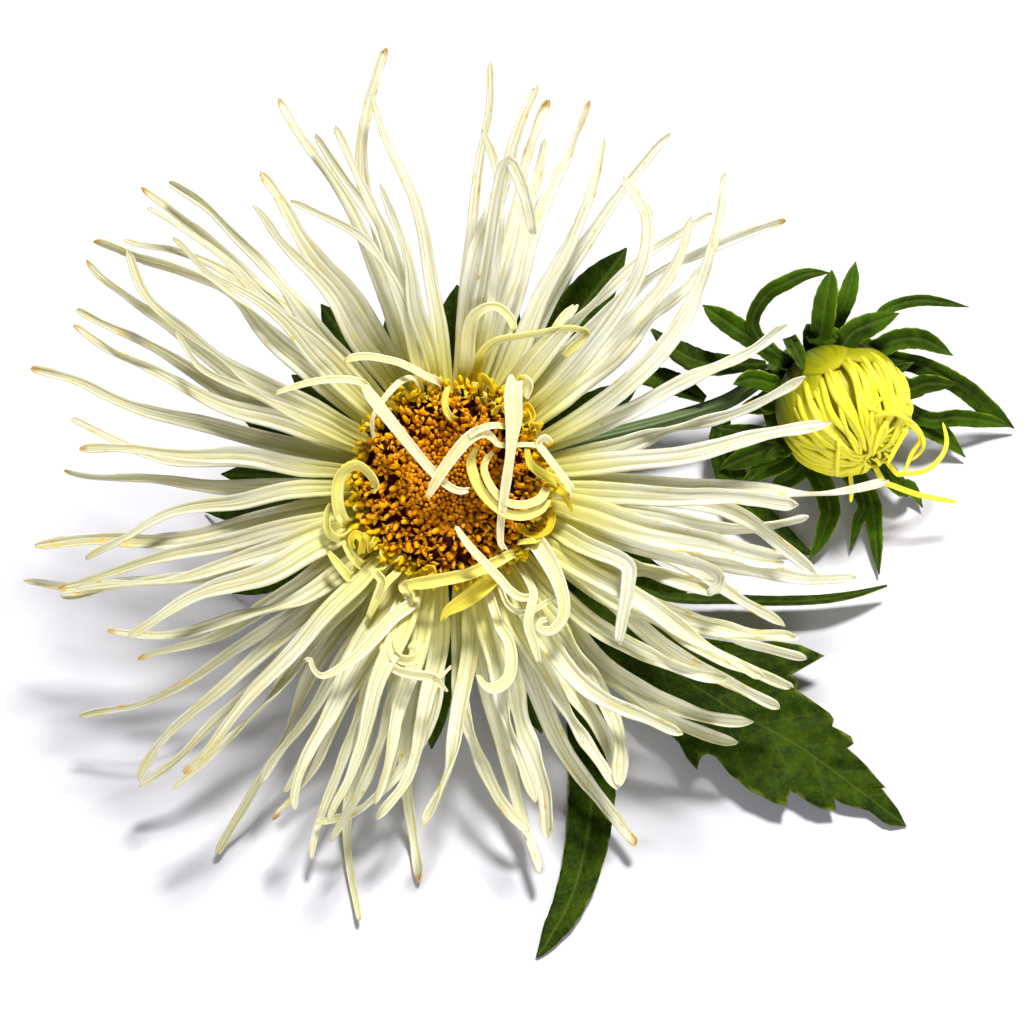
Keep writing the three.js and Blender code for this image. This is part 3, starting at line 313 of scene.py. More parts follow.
    (20, 0.6, (1.6, 9.6, 2.5, 0.8), (0.4, 10, 6, 0.9), (-0.6, 11.3, 7, 0.9), (-0.8, 13.2, 7.2, 0.9),
     (-0.2, 15, 7, 0.7)),
)

# Leafy bracts of the bloom: azimuth, reach, height out of the face at the tip, and width
BLOOM_BRACTS = (
    (27, 33, -17, 4.6),
    (53, 46, -16, 6),
    (70, 30, -19, 4.4),
    (88, 31, -15, 4.6),
    (111, 28, -18, 4),
    (126, 34.5, -17, 4.8),
    (146, 30, -19, 4.6),
    (163, 34, -24, 4.4),
    (187, 38.6, -40.4, 4.6),
    (207, 38.4, -32.8, 4.8),
    (178, 36, -20, 4),
    (228, 30, -17, 4.4),
    (248, 34, -15.5, 4.6),
    (266, 42, -15, 4.6),
    (290, 42, -14, 5),
    (306, 41, -13, 4.4),
    (335, 41, -15, 4.2),
    (356, 30, -17, 4.2),
)

# Loose rays of the bud: width, then (across, up, height) as seen
BUD_CURLS = (
    (0.95, (67, 10.7, 25.4), (70.2, 10.7, 24.2), (73.3, 8.6, 18), (74.4, 6, 16), (73.6, 4.4, 14),
     (72.4, 3.3, 13)),
    (0.9, (71.7, 9.6, 20.8), (73.9, 7.1, 16.5), (72.5, 4.4, 14), (71.3, 1.3, 12)),
    (0.9, (70.2, 1.3, 12), (74.4, 1.7, 11), (77.1, 3.9, 11), (78, 6.4, 12), (77.4, 9.4, 13)),
    (1, (68.1, 0, 12), (71.7, -1.4, 10), (74.4, -2.2, 9), (79.7, -3.2, 7)),
    (0.8, (61.1, 6, 23), (60.8, 3.3, 20), (60.8, 0.8, 15.6)),
    (0.8, (63.1, -1.1, 12), (62.9, -3.2, 11)),
    (0.8, (65.5, 11.8, 26.8), (67, 11.2, 26), (69.2, 10.7, 24.6), (71.2, 11.4, 22.4)),
    (0.8, (70.5, 12.9, 24), (72.3, 12.4, 21.5), (72.2, 10.7, 20.5), (70.5, 10.9, 22.5)),
    (0.85, (68.4, 15.4, 24.6), (66.6, 14.4, 26.4), (65.3, 11.6, 26.6), (65.6, 8.4, 24.6)),
    (0.85, (70, 14, 23.6), (68.2, 13.6, 25.4), (66.4, 11.2, 26), (66.2, 7.6, 24)),
    (0.8, (71.6, 8, 20.4), (70.2, 5.6, 19), (68.6, 2.6, 16.6)),
    (0.8, (68.4, 9.2, 24), (67.4, 7.4, 23.4), (66.4, 4, 20.6)),
)

# Bracts of the bud: width, then (across, up, height) as seen, from the bud's edge to the tip
BUD_BRACTS = (
    (3.8, (49, 21.5, 22), (44.4, 24.5, 24), (39.7, 27.8, 23)),
    (2.6, (48.4, 22.8, 23), (47.6, 25.9, 26), (49.8, 29.6, 29), (52.9, 31.4, 31), (56, 32.7, 31),
     (59.7, 32.9, 30)),
    (4, (58.1, 23.1, 25), (59, 28, 29), (60, 33.3, 31)),
    (3.2, (60.3, 24.9, 25), (62.3, 29, 30), (63.7, 34.6, 32)),
    (2, (66.6, 25.4, 24), (69.2, 27.5, 25), (74.4, 28.6, 24), (81.5, 27.5, 21)),
    (4.2, (61.3, 21.7, 26), (63.9, 23.9, 28), (70.5, 26.5, 28)),
    (3.8, (66, 20.7, 22), (70.2, 22.3, 22), (74.4, 22.3, 19), (78.9, 19.9, 15)),
    (2.8, (67.5, 17, 20), (70, 17.6, 22), (72.8, 18.8, 22)),
    (3.6, (71.3, 14.9, 15), (74.9, 15.5, 14), (79.5, 15.4, 12)),
    (3.6, (73.3, 18.5, 15), (79.7, 15.4, 11), (83.8, 12.2, 6), (88.6, 8.5, 1.4)),
    (3, (73.9, 10.2, 8), (79.7, 10.2, 6), (84.9, 9.6, 3.5), (88.2, 8.7, 1.8)),
    (4, (73.4, 9.6, 7), (77.1, 7.5, 4), (80.9, 3.9, 1.2)),
    (3.6, (69.7, 0.2, 5), (72.3, -0.9, 2.5), (74.2, -4, 1.2)),
    (2.8, (64.5, -1.9, 6), (63.9, -6.6, 3), (62.9, -10.8, 1.2)),
    (3, (65.5, -1.4, 6), (66.8, -7.2, 3), (67.4, -14.5, 1.2)),
    (3.8, (59.2, -2.4, 7), (58.7, -7.7, 4), (56.3, -12.4, 1.6)),
    (3.2, (51, 15.4, 18), (47.6, 16.2, 20), (44.5, 15.4, 21)),
    (2.8, (53.4, 22.3, 22), (54.6, 19.8, 25.4), (55.3, 17.6, 27.4)),
    (2.4, (52.9, 5.5, 13), (51, 4.6, 13), (49, 3.3, 12)),
    (3.8, (53, 8, 10), (49, 4, 6), (47.5, -1, 3)),
    (3.6, (52, 12.5, 14), (48.6, 12.2, 12), (45, 11.2, 10)),
    (2.6, (51.4, 7.6, 11), (46.8, 7.9, 9.5), (41.9, 8.6, 8.4)),
    (4.2, (52, 6.4, 9), (46.6, 4, 7.4), (42.4, 2.2, 6)),
    (4, (53, 4.4, 8), (49, 1.8, 6), (45.4, -0.9, 4)),
    (3.4, (55, 2.6, 7), (51.8, -0.4, 5), (49.4, -3.2, 3)),
)

# Layers of rays, lowest first: height out of the bloom's face at the foot, middle and tip
LAYERS = ((-6.8, -6, -9), (-5.4, -2.5, -4.5), (-4, 1.2, 0), (-2.6, 5, 4.5), (-1.2, 8.8, 9))
# Reach at which the rays have those heights
ROOT_REACH = 13.4
MIDDLE_REACH = 40
OUTER_REACH = 66
# Lowest height of the lowest layer over the surface and over the leaves, and the step to the next layer
REST_HEIGHT = 1.3
LEAF_REST_HEIGHT = 4.4
LAYER_STEP = 1.2
# Azimuths between which the rays lie over the leaves
LEAVES_FROM = 274
LEAVES_TO = 352
# Height of the foot of loose and curled rays. A ray is led back to it if its first point is lower than
# the one of these and further out than the other.
BENT_FOOT = -3.2
LED_BELOW = 6
LED_BEYOND = 11

# Azimuths at the tip of the rays whose tips have turned brown
BROWN_TIPS = (164.5, 158.5, 174, 177.5, 147, 136.5, 113.5, 98.5, 75.5, 70, 38, 265, 203.5, 210.5, 297, 242,
              226.5, 193)

# Azimuths round which the rays are darkest with painted shade, end broadest and are yellowest
SHADED_SIDE = 178
BROAD_SIDE = 322
YELLOW_SIDE = 290

# Points along the stem and along the side branch
STEM_STEPS = 90
# The stem, then the side branch: its foot in the stem, its way as seen, and its neck below the bud as
# (along, out) shares of the bud's radius
STEM_PATH = (
    (-12, -36.83, 23.84), (-11.8, -31.5, 15.5), (-9.6, -24, 7.2), (-6.6, -15.5, 2.9),
    (-3, -7, STEM_RADIUS), (0.6, 3, STEM_RADIUS), (4, 13, STEM_RADIUS), (7.4, 23, STEM_RADIUS),
)
BRANCH_FOOT = (-9, -21.5, 6)
BRANCH_SEEN = ((10, 4, 7.6), (23.6, 7, 8.2), (36, 10.2, 9), (44, 13, 9.8), (50.2, 17.4, 11.2))
BRANCH_NECK = ((-1.46, 0.06), (-1.235, 0))

# Plain leaves: face direction, then (across, up, height, width) from the stem to the tip
PLAIN_LEAVES = {
    "leaf_lower": (
        (0, 0, 1), (3.6, 0, 4.4, 2.2), (12, -12, 2.4, 4), (20.6, -34, 1.2, 6.6), (22.2, -44, 1.2, 7.4),
        (22.2, -50, 1.2, 7.6), (21.4, -56.7, 1.2, 6.9), (19.8, -63.1, 1.1, 6), (17.9, -67.8, 1, 4.9),
        (16.2, -70.7, 0.8, 3.7), (14.9, -73, 0.6, 2.1), (13.6, -74.7, 0.45, 0.4),
    ),
    "leaf_right": (
        (0, 0.64, 0.77), (17.2, 3.3, 6.5, 1.6), (22, -5, 6.3, 3.4), (31, -17, 4.9, 4.6),
        (45, -18.7, 4.2, 4.4), (56, -18.8, 3.9, 4), (63, -17.9, 3.6, 2.8), (68.6, -16.3, 3.4, 0.4),
    ),
    "branch_leaf_top": (
        (0, 0, 1), (49.6, 18.5, 13.2, 1.4), (45, 18.4, 15, 3.6), (39.6, 18.7, 16.6, 5),
        (35, 21, 17.6, 3.8), (31.6, 24, 18.5, 0.5),
    ),
    "branch_leaf_mid": (
        (0, 0, 1), (40, 12.9, 11.4, 1.6), (36, 15, 12.5, 4.4), (31, 16.5, 13, 4), (27, 15.5, 12.6, 0.5),
    ),
    "branch_leaf_low": (
        (0, 0, 1), (43.4, 11.2, 7.4, 1.6), (42.6, 6, 6, 4.4), (46, -3, 3.2, 5.6), (52, -8.4, 2, 4),
        (57, -11.5, 1.2, 0.5),
    ),
}

# The toothed leaf as seen: its lowest height, its midrib with heights, and its two edges, from the stalk
# to the tip
LOWEST_BLADE = 0.45
TOOTHED_RIB = ((3.8, -0.5, 12), (11, -9, 8.6), (24.5, -22.2, 5.2), (42.7, -34.8, 3.6), (54.8, -41.6, 2.8),
               (67.6, -51, 1.2), (71.7, -54.1, 0.45))
TOOTHED_UPPER = (
    (3.8, 0.2), (11.4, -8.2), (17.3, -11.5), (23, -14.5), (31, -21.5), (37.7, -24.2), (44, -25.2), (51, -25),
    (55, -25.6), (58.8, -27.3), (56, -28.9), (53.4, -30.4), (54.6, -31.3), (54.4, -32.6), (57.2, -34.6),
    (59.6, -36.3), (60.3, -37.3), (60, -38.4), (61.5, -39.1), (63, -40), (63.4, -41.1), (62.4, -41.8),
    (63.9, -43.1), (65.6, -44.8), (67, -46.5), (68.4, -48), (67.5, -47.7), (68.8, -49.4), (70.4, -51.5),
    (71.7, -54.1),
)
TOOTHED_LOWER = (
    (3.4, -1.2), (10.4, -9.8), (18.5, -21), (25, -29.5), (30, -35.5), (34, -39.1), (36, -41.1), (37.2, -43.4),
    (38.8, -45.3), (39.1, -43.9), (39.7, -42.9), (40.6, -42.7), (41.6, -43.1), (42.7, -44.4), (44, -46),
    (45.3, -46.9), (46.9, -48.4), (48.8, -49.3), (50.8, -50.4), (52.9, -50.9), (53, -49.6), (53.6, -48.6),
    (54.8, -49.2), (56.5, -50.5), (58.4, -51.4), (60.7, -51.6), (60.2, -49.7), (61.6, -50.5), (63.5, -51.1),
    (65.8, -51.6), (66.8, -52.4), (68.1, -53.5), (69.4, -54), (71.7, -54.1),
)
# Shares of the midrib where a side vein leaves it, towards the upper edge's teeth and the lower edge's
UPPER_VEINS = (0.2, 0.33, 0.46, 0.58, 0.68, 0.76, 0.84, 0.91)
LOWER_VEINS = (0.2, 0.34, 0.47, 0.6, 0.7, 0.79, 0.88)
VEIN_SLANT = math.radians(38)
# Distance between the side veins of a plain leaf
VEIN_STEP = 4.5

# Direction of the bud's tip, its foot along that axis and its cup as (along, out), in shares of its radius
BUD_AXIS = np.array([0.46, -0.847, 0.267]) / math.sqrt(0.46 ** 2 + 0.847 ** 2 + 0.267 ** 2)
BUD_FOOT = -0.87
BUD_CUP = ((-1.145, 0), (-1.145, 0.18), (-1.02, 0.4), (BUD_FOOT - 0.035, 0.49), (BUD_FOOT - 0.035, 0))


def unit(vectors):
    return vectors / np.linalg.norm(vectors, axis=-1, keepdims=True)


def head_point(across, up, out):
    """A point of the bloom's frame"""
    across, up, out = (np.asarray(value, float)[..., None] for value in (across, up, out))
    return HEAD + across * RIGHT + up * UP + out * AXIS


def face_point(across, up, out):
    """The point at out from the face that is seen at (across, up) of the face"""
    spread = 1 - np.asarray(out) / VIEW_DISTANCE
    middle_across, middle_up = VIEW_MIDDLE
    return head_point(middle_across + (across - middle_across) * spread,
                      middle_up + (up - middle_up) * spread, out)


def low_point(across, up, height):
    """The point at a height above the surface that is seen at (across, up) of the face"""
    slant = (up - VIEW_MIDDLE[1]) / VIEW_DISTANCE
    return face_point(across, up, (height - HEAD[2] - up * UP[2]) / (AXIS[2] - slant * UP[2]))


BUD_CENTRE = low_point(61.7, 11.6, 17)
# The side of its tip where the bud's rays gather, and the side where those start that run to the tip
BUD_GATHER = unit(0.357 * RIGHT - 0.83 * UP + 0.43 * AXIS)
BUD_FLOW = unit(0.8 * RIGHT - 0.2 * UP)
BUD_ACROSS = unit(np.cross(SKYWARD, BUD_AXIS))
BUD_UPRIGHT = np.cross(BUD_AXIS, BUD_ACROSS)


def bud_point(along, reach, angle):
    """A point of the bud's frame: along its axis, and out from it at an angle"""
    along, reach, angle = (np.asarray(value, float)[..., None] for value in (along, reach, angle))
    return (BUD_CENTRE + along * BUD_AXIS
            + reach * (np.cos(angle) * BUD_ACROSS + np.sin(angle) * BUD_UPRIGHT))


def rise(value, low, high):
    """A soft step from 0 at low to 1 at high"""
    share = np.clip((np.asarray(value, float) - low) / (high - low), 0, 1)
    return share * share * (3 - 2 * share)


def length_of(path):
    return np.sum(np.linalg.norm(np.diff(path, axis=0), axis=1))


def lengths_along(path):
    """Length of a path up to each of its points"""
    return np.concatenate([[0], np.cumsum(np.linalg.norm(np.diff(path, axis=0), axis=1))])


def shares_along(path):
    """How far along its length each point of a path lies, from 0 to 1"""
    lengths = lengths_along(path)
    return lengths / lengths[-1]


def evenly(path, count):
    """Points at even steps of length along a path"""
    lengths = lengths_along(path)
    stops = np.linspace(0, lengths[-1], count)
    return np.stack([np.interp(stops, lengths, column) for column in path.T], axis=1)


def smooth_path(points, count):
    """Even points along the smooth curve through the given ones"""
    points = np.asarray(points, float)
    ends = np.vstack([points[:1], points, points[-1:]])
    t = np.linspace(0, 1, 12, endpoint=False)[:, None]
    runs = [
        0.5 * (2 * p1 + (p2 - p0) * t + (2 * p0 - 5 * p1 + 4 * p2 - p3) * t ** 2
               + (3 * p1 - p0 - 3 * p2 + p3) * t ** 3)
        for p0, p1, p2, p3 in zip(ends, ends[1:], ends[2:], ends[3:])
    ]
    return evenly(np.vstack(runs + [points[-1:]]), count)


def arch_path(points, count):
    """Even points along the curve from the first control point to the last, drawn to the middle two"""
    p0, p1, p2, p3 = (np.asarray(point, float) for point in points)
    t = np.linspace(0, 1, 4 * count)[:, None]
    curve = (1 - t) ** 3 * p0 + 3 * (1 - t) ** 2 * t * p1 + 3 * (1 - t) * t ** 2 * p2 + t ** 3 * p3
    return evenly(curve, count)


def tangents_along(path):
    return unit(np.vstack([path[1:], path[-1:]]) - np.vstack([path[:1], path[:-1]]))


def frames_along(path, face, carried=False):
    """Tangents, normals and sides along a path; a carried face follows the path's own bends"""
    tangents = tangents_along(path)
    normals = np.empty_like(path)
    face = normal = np.asarray(face, float)
    for i, tangent in enumerate(tangents):
        start = normal if carried else face
        normal = unit(start - start.dot(tangent) * tangent)
        normals[i] = normal
    return tangents, normals, np.cross(tangents, normals)


def turn_frames(normals, sides, angles):
    """Normals and sides turned round the path by an angle at each point"""
    cosine, sine = np.cos(angles)[:, None], np.sin(angles)[:, None]
    return normals * cosine + sides * sine, sides * cosine - normals * sine


class Form:
    """Gathers the closed bodies of one piece, with a UV point and named values at each vertex"""

    def __init__(self):
        self.points = []
        self.faces = []
        self.uvs = []
        self.values = {}
        self.count = 0

    def gather(self, points, uvs, values):
        """Adds points with their UVs and values, and returns the number of the first one"""
        start = self.count
        self.points.append(points.reshape(-1, 3))
        self.uvs.append(uvs.reshape(-1, 2))
        self.count += len(self.points[-1])
        for name, value in values.items():
            flat = np.broadcast_to(np.asarray(value, float), points.shape[:-1]).reshape(-1)
            self.values.setdefault(name, []).append(flat)
        return start

    def add_sheet(self, upper, lower, uvs, **values):
        """A thin body between two grids of points, whose columns go to the side and rows ahead"""
        rows, columns = upper.shape[:2]
        both = {name: np.stack([np.broadcast_to(value, (rows, columns))] * 2)
                for name, value in values.items()}
        both["under"] = np.stack([np.zeros((rows, columns)), np.ones((rows, columns))])
        start = self.gather(np.stack([upper, lower]), np.stack([uvs, uvs]), both)
        top = start + np.arange(rows * columns).reshape(rows, columns)
        low = top + rows * columns
        self.add_quads(top[:-1, :-1], top[:-1, 1:], top[1:, 1:], top[1:, :-1])
        self.add_quads(low[:-1, :-1], low[1:, :-1], low[1:, 1:], low[:-1, 1:])
        self.add_quads(top[1:, 0], low[1:, 0], low[:-1, 0], top[:-1, 0])
        self.add_quads(top[:-1, -1], low[:-1, -1], low[1:, -1], top[1:, -1])
        self.add_quads(top[0, :-1], low[0, :-1], low[0, 1:], top[0, 1:])
        self.add_quads(top[-1, 1:], low[-1, 1:], low[-1, :-1], top[-1, :-1])

    def add_tube(self, rings, uvs, **values):
        """A closed body through rings of points, flat at both ends"""
        rows, sides = rings.shape[:2]
        start = self.gather(rings, uvs, values)
        grid = start + np.arange(rows * sides).reshape(rows, sides)
        around = np.roll(grid, -1, axis=1)
        self.add_quads(grid[:-1], around[:-1], around[1:], grid[1:])
        self.faces.append(tuple(int(i) for i in grid[0][::-1]))
        self.faces.append(tuple(int(i) for i in grid[-1]))

    def add_quads(self, a, b, c, d):
        corners = np.stack([np.ravel(a), np.ravel(b), np.ravel(c), np.ravel(d)], axis=1)
        self.faces.extend(map(tuple, corners.tolist()))

    def mesh(self, name):
        points = np.vstack(self.points) * MM
        mesh = bpy.data.meshes.new(name)
        mesh.from_pydata(points.tolist(), [], self.faces)
        uv_of_vertex = np.vstack(self.uvs)
        corner_vertices = np.empty(len(mesh.loops), np.int32)
        mesh.loops.foreach_get("vertex_index", corner_vertices)
        mesh.uv_layers.new(name="UVMap").data.foreach_set("uv", uv_of_vertex[corner_vertices].ravel())
        for value_name, runs in self.values.items():
            attribute = mesh.attributes.new(value_name, "FLOAT", "POINT")
            attribute.data.foreach_set("value", np.concatenate(runs).astype(np.float32))
        mesh.shade_smooth()
        mesh.update()
        return mesh


def place_form(name, form, material, slot, node):
    return place_piece(name, form.mesh(name), material, slot, node)


def place_piece(name, mesh, material, slot, *nodes):
    """Shows a mesh as a piece of the flower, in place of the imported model's nodes"""
    mesh.name = name
    mesh.materials.clear()
    mesh.materials.append(material)
    piece = bpy.data.objects.new(name, mesh)
    bpy.context.scene.collection.objects.link(piece)
    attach(piece, BODY)
    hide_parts(*nodes)
    return piece


class Nodes:
    """A node tree with one way to add a node, its settings and the values or links of its sockets"""

    def __init__(self, tree):
        self.tree = tree

    def node(self, kind, settings=None, *values, **sockets):
        node = self.tree.nodes.new(kind)
        for name, setting in (settings or {}).items():
            setattr(node, name, setting)
        for socket, value in zip(node.inputs, values):
            self.join(socket, value)
        for name, value in sockets.items():
            plain = name.replace("_", " ")
            socket = next(s for s in node.inputs if s.identifier == name or s.name == plain)
            self.join(socket, value)
        return node

    def join(self, socket, value):
        if isinstance(value, Level):
            value = value.socket
        if isinstance(value, bpy.types.NodeSocket):
            self.tree.links.new(value, socket)
        elif socket.type == "RGBA" and len(value) == 3:
            socket.default_value = (*value, 1)
        else:
            socket.default_value = value

    def level(self, kind, settings=None, *values, output=0, **sockets):
        return Level(self, self.node(kind, settings, *values, **sockets).outputs[output])


class Level:
    """A number over a surface; arithmetic on it adds Math nodes"""

    def __init__(self, nodes, socket):
        self.nodes = nodes
        self.socket = socket

    def math(self, operation, *values):
        return self.nodes.level("ShaderNodeMath", {"operation": operation}, *values)

    def __add__(self, other):
        return self.math("ADD", self, other)

    __radd__ = __add__

    def __sub__(self, other):
        return self.math("SUBTRACT", self, other)

    def __rsub__(self, other):
        return self.math("SUBTRACT", other, self)

    def __mul__(self, other):
        return self.math("MULTIPLY", self, other)

    def __truediv__(self, other):
        return self.math("DIVIDE", self, other)

    def __pow__(self, other):
        return self.math("POWER", self, other)

    def cosine(self):
        return self.math("COSINE", self)

    def sine(self):
        return self.math("SINE", self)

    def size(self):
        return self.math("ABSOLUTE", self)

    def fraction(self):
        return self.math("FRACT", self)

    def clamped(self):
        return self.nodes.level("ShaderNodeClamp", {}, self)

    def rise(self, low, high):
        """A soft step from 0 at low to 1 at high"""
        settings = {"interpolation_type": "SMOOTHSTEP"}
        return self.nodes.level("ShaderNodeMapRange", settings, self, low, high)


class Finish(Nodes):
    """The node tree of one material, round a Principled shader"""

    def __init__(self, name, **uniform):
        self.material = bpy.data.materials.new(name)
        self.material.use_nodes = True
        super().__init__(self.material.node_tree)
        self.tree.nodes.clear()
        self.shader = self.node("ShaderNodeBsdfPrincipled", {}, **uniform)
        self.node("ShaderNodeOutputMaterial", {}, self.shader.outputs[0])
        self.place = self.node("ShaderNodeTexCoord").outputs["Object"]

    def surface_uv(self):
        split = self.node("ShaderNodeSeparateXYZ", {}, self.node("ShaderNodeTexCoord").outputs["UV"])
        return Level(self, split.outputs[0]), Level(self, split.outputs[1])

    def value(self, name):
        return self.level("ShaderNodeAttribute", {"attribute_name": name}, output=2)

    def vector(self, x, y, z=0.0):
        return self.node("ShaderNodeCombineXYZ", {}, x, y, z).outputs[0]

    def noise(self, scale, detail, vector=None, roughness=0.5):
        return self.level("ShaderNodeTexNoise", {}, Vector=vector or self.place, Scale=scale, Detail=detail,
                          Roughness=roughness)

    def mix(self, factor, first, second):
        settings = {"data_type": "RGBA", "clamp_factor": True}
        mixed = self.node("ShaderNodeMix", settings, Factor_Float=factor, A_Color=first, B_Color=second)
        return mixed.outputs[2]

    def colour(self, colour):
        self.join(self.shader.inputs["Base Color"], colour)

    def roughness(self, level):
        self.join(self.shader.inputs["Roughness"], level)

    def bump(self, height, distance, strength):
        bump = self.node("ShaderNodeBump", {}, Height=height, Distance=distance, Strength=strength)
        self.join(self.shader.inputs["Normal"], bump.outputs[0])


def linear(code):
    """Linear colour of a six-digit sRGB code"""
    levels = [int(code[i:i + 2], 16) / 255 for i in (0, 2, 4)]
    return tuple(x / 12.92 if x <= 0.04045 else ((x + 0.055) / 1.055) ** 2.4 for x in levels)


def ray_finish(name, tones, crease_shade_depth, hollow_shade_depth, spots, colours):
    """Pale rays with two creases, yellow at the foot, ochre bruises and tips

    The tones are those of the ray, its streaks, its yellow part and painted translucent shade, its foot, and
    the painted shade in its creases and its worn rims.
    """
    cream, shade, yellow_and_shade_tone, foot_tone, crease_shade_and_rim_tone = tones
    finish = Finish(name, Roughness=0.5, Specular_IOR_Level=0.3, Subsurface_Weight=0.45,
                    Subsurface_Scale=0.0016, Subsurface_Radius=(1, 1, 0.75))
    across, along = finish.surface_uv()
    aside = (across - 0.5).size()
    tint, brown, under = finish.value("tint"), finish.value("brown"), finish.value("under")
    yellow, aged = finish.value("yellow"), finish.value("aged")
    streaks = finish.noise(1, 3, finish.vector(across * 9, along * 7, tint * 40))
    fine = finish.noise(1, 2, finish.vector(across * 34, along * 14, tint * 70))
    patches = finish.noise(1, 2, finish.vector(across * 1.5, along * 26, tint * 90))
    # Painted shade: the two crease lines and the ray's middle are darkened towards the crease tone
    grooves = 1 - (aside - 0.2).size().rise(0.01, 0.09)
    middle = 1 - aside.rise(0.03, 0.2)
    crease = (grooves * 0.8 + middle * 0.45).clamped() * streaks.rise(0.28, 0.6)
    streaky = (streaks.rise(0.42, 0.72) * 0.7 + fine.rise(0.5, 0.8) * 0.3).clamped()
    colour = finish.mix(streaky, cream, shade)
    # Painted shade: rays towards the bloom's left side get darker beige streaks
    colour = finish.mix(aged * (0.4 + streaks.rise(0.35, 0.6) * 0.55), colour, colours.petal_aged)
    warm = tint * patches.rise(0.4, 0.65) * streaks.rise(0.38, 0.6)
    colour = finish.mix(warm * 0.8, colour, colours.petal_warm)
    # The underside is a little yellower: painted translucent shade
    colour = finish.mix((yellow + (streaks - 0.5) * 0.3 + under * 0.12).rise(0.12, 0.7), colour, yellow_and_shade_tone)
    # Painted translucent shade: the hollow middle of a curled ray is yellowed
    colour = finish.mix((1 - aside.rise(0.1, 0.42)) * hollow_shade_depth, colour, yellow_and_shade_tone)
    colour = finish.mix((yellow + (streaks - 0.5) * 0.35).rise(0.62, 0.95), colour, foot_tone)
    # Painted shade in the creases, deeper on the bloom's left side
    colour = finish.mix(crease * (crease_shade_depth + aged * 0.3), colour, crease_shade_and_rim_tone)
    rim = (across - 0.5 + (fine - 0.5) * 0.1).size().rise(0.4, 0.5)
    # The same tone also marks the worn rims of some rays
    colour = finish.mix(rim * patches.rise(0.35, 0.6) * spots * 0.7, colour, crease_shade_and_rim_tone)
    worn = along.rise(0.2, 0.5) * 0.1 + aside.rise(0.2, 0.45) * 0.05
    bruises = finish.noise(1, 3, finish.vector(across * 3.5, along * 44, tint * 55)) + worn
    bruised = bruises.rise(0.65, 0.74) * patches.rise(0.42, 0.6)
    colour = finish.mix(bruised * spots, colour, colours.petal_bruise)
    withered = bruises.rise(0.74, 0.8) * patches.rise(0.45, 0.6)
    colour = finish.mix(withered * spots, colour, colours.petal_brown)
    end = (brown + (streaks - 0.5) * 0.8).rise(0.45, 1.0) * brown.rise(0.02, 0.3)
    colour = finish.mix(end * 0.85, colour, colours.petal_brown)
    finish.colour(colour)
    finish.roughness(0.42 + streaks * 0.25)
    finish.bump(streaks * 0.6 + fine * 0.25 - crease * 0.6, 0.00016, 0.7)
    return finish.material


def long_ray_finish(colours):
    tones = (colours.petal_cream, colours.petal_shade, colours.petal_yellow, colours.petal_foot,
             colours.petal_crease_shade_and_rim)
    return ray_finish("outer_petal", tones, 0.6, 0.0, 0.8, colours)


def curl_finish(colours):
    tones = (colours.curl_white, colours.curl_shade, colours.curl_yellow, colours.curl_gold,
             colours.curl_crease_shade_and_rim)
    return ray_finish("inner_petal", tones, 0.45, 0.25, 0.1, colours)


def floret_finish(colours):
    """Disc florets: dark at the foot with painted shade between them, golden above, orange-brown in the
    disc's middle
    """
    finish = Finish("disc_floret", Roughness=0.5, Specular_IOR_Level=0.06, Subsurface_Weight=0.15,
                    Subsurface_Scale=0.0006, Subsurface_Radius=(1, 0.7, 0.3))
    grain = finish.noise(1400, 2)
    patches = finish.noise(260, 2)
    height, tint, reach = finish.value("height"), finish.value("tint"), finish.value("reach")
    outward = (reach + (patches - 0.5) * 0.25).rise(0.38, 0.62)
    gold = finish.mix((tint * 0.7 + patches * 0.4).clamped(), colours.floret_orange, colours.floret_gold)
    gold = finish.mix(reach.rise(0.84, 1.08) * 0.7, gold, colours.floret_rim)
    gold = finish.mix(outward, finish.mix(tint * 0.5, colours.floret_middle, colours.floret_gold), gold)
    # Painted shade between the florets: deep brown round the rim, orange-brown among the closed florets in
    # the middle
    gap_shade = finish.mix(outward, colours.floret_middle_gap_shade, colours.floret_gap_shade)
    # Each floret goes from the painted shade at its foot to its gold above
    colour = finish.mix((height + (grain - 0.5) * 0.35).rise(0.2, 0.7), gap_shade, gold)
    finish.colour(colour)
    finish.roughness(0.35 + grain * 0.3)
    finish.bump(grain, 0.00008, 0.5)
    return finish.material


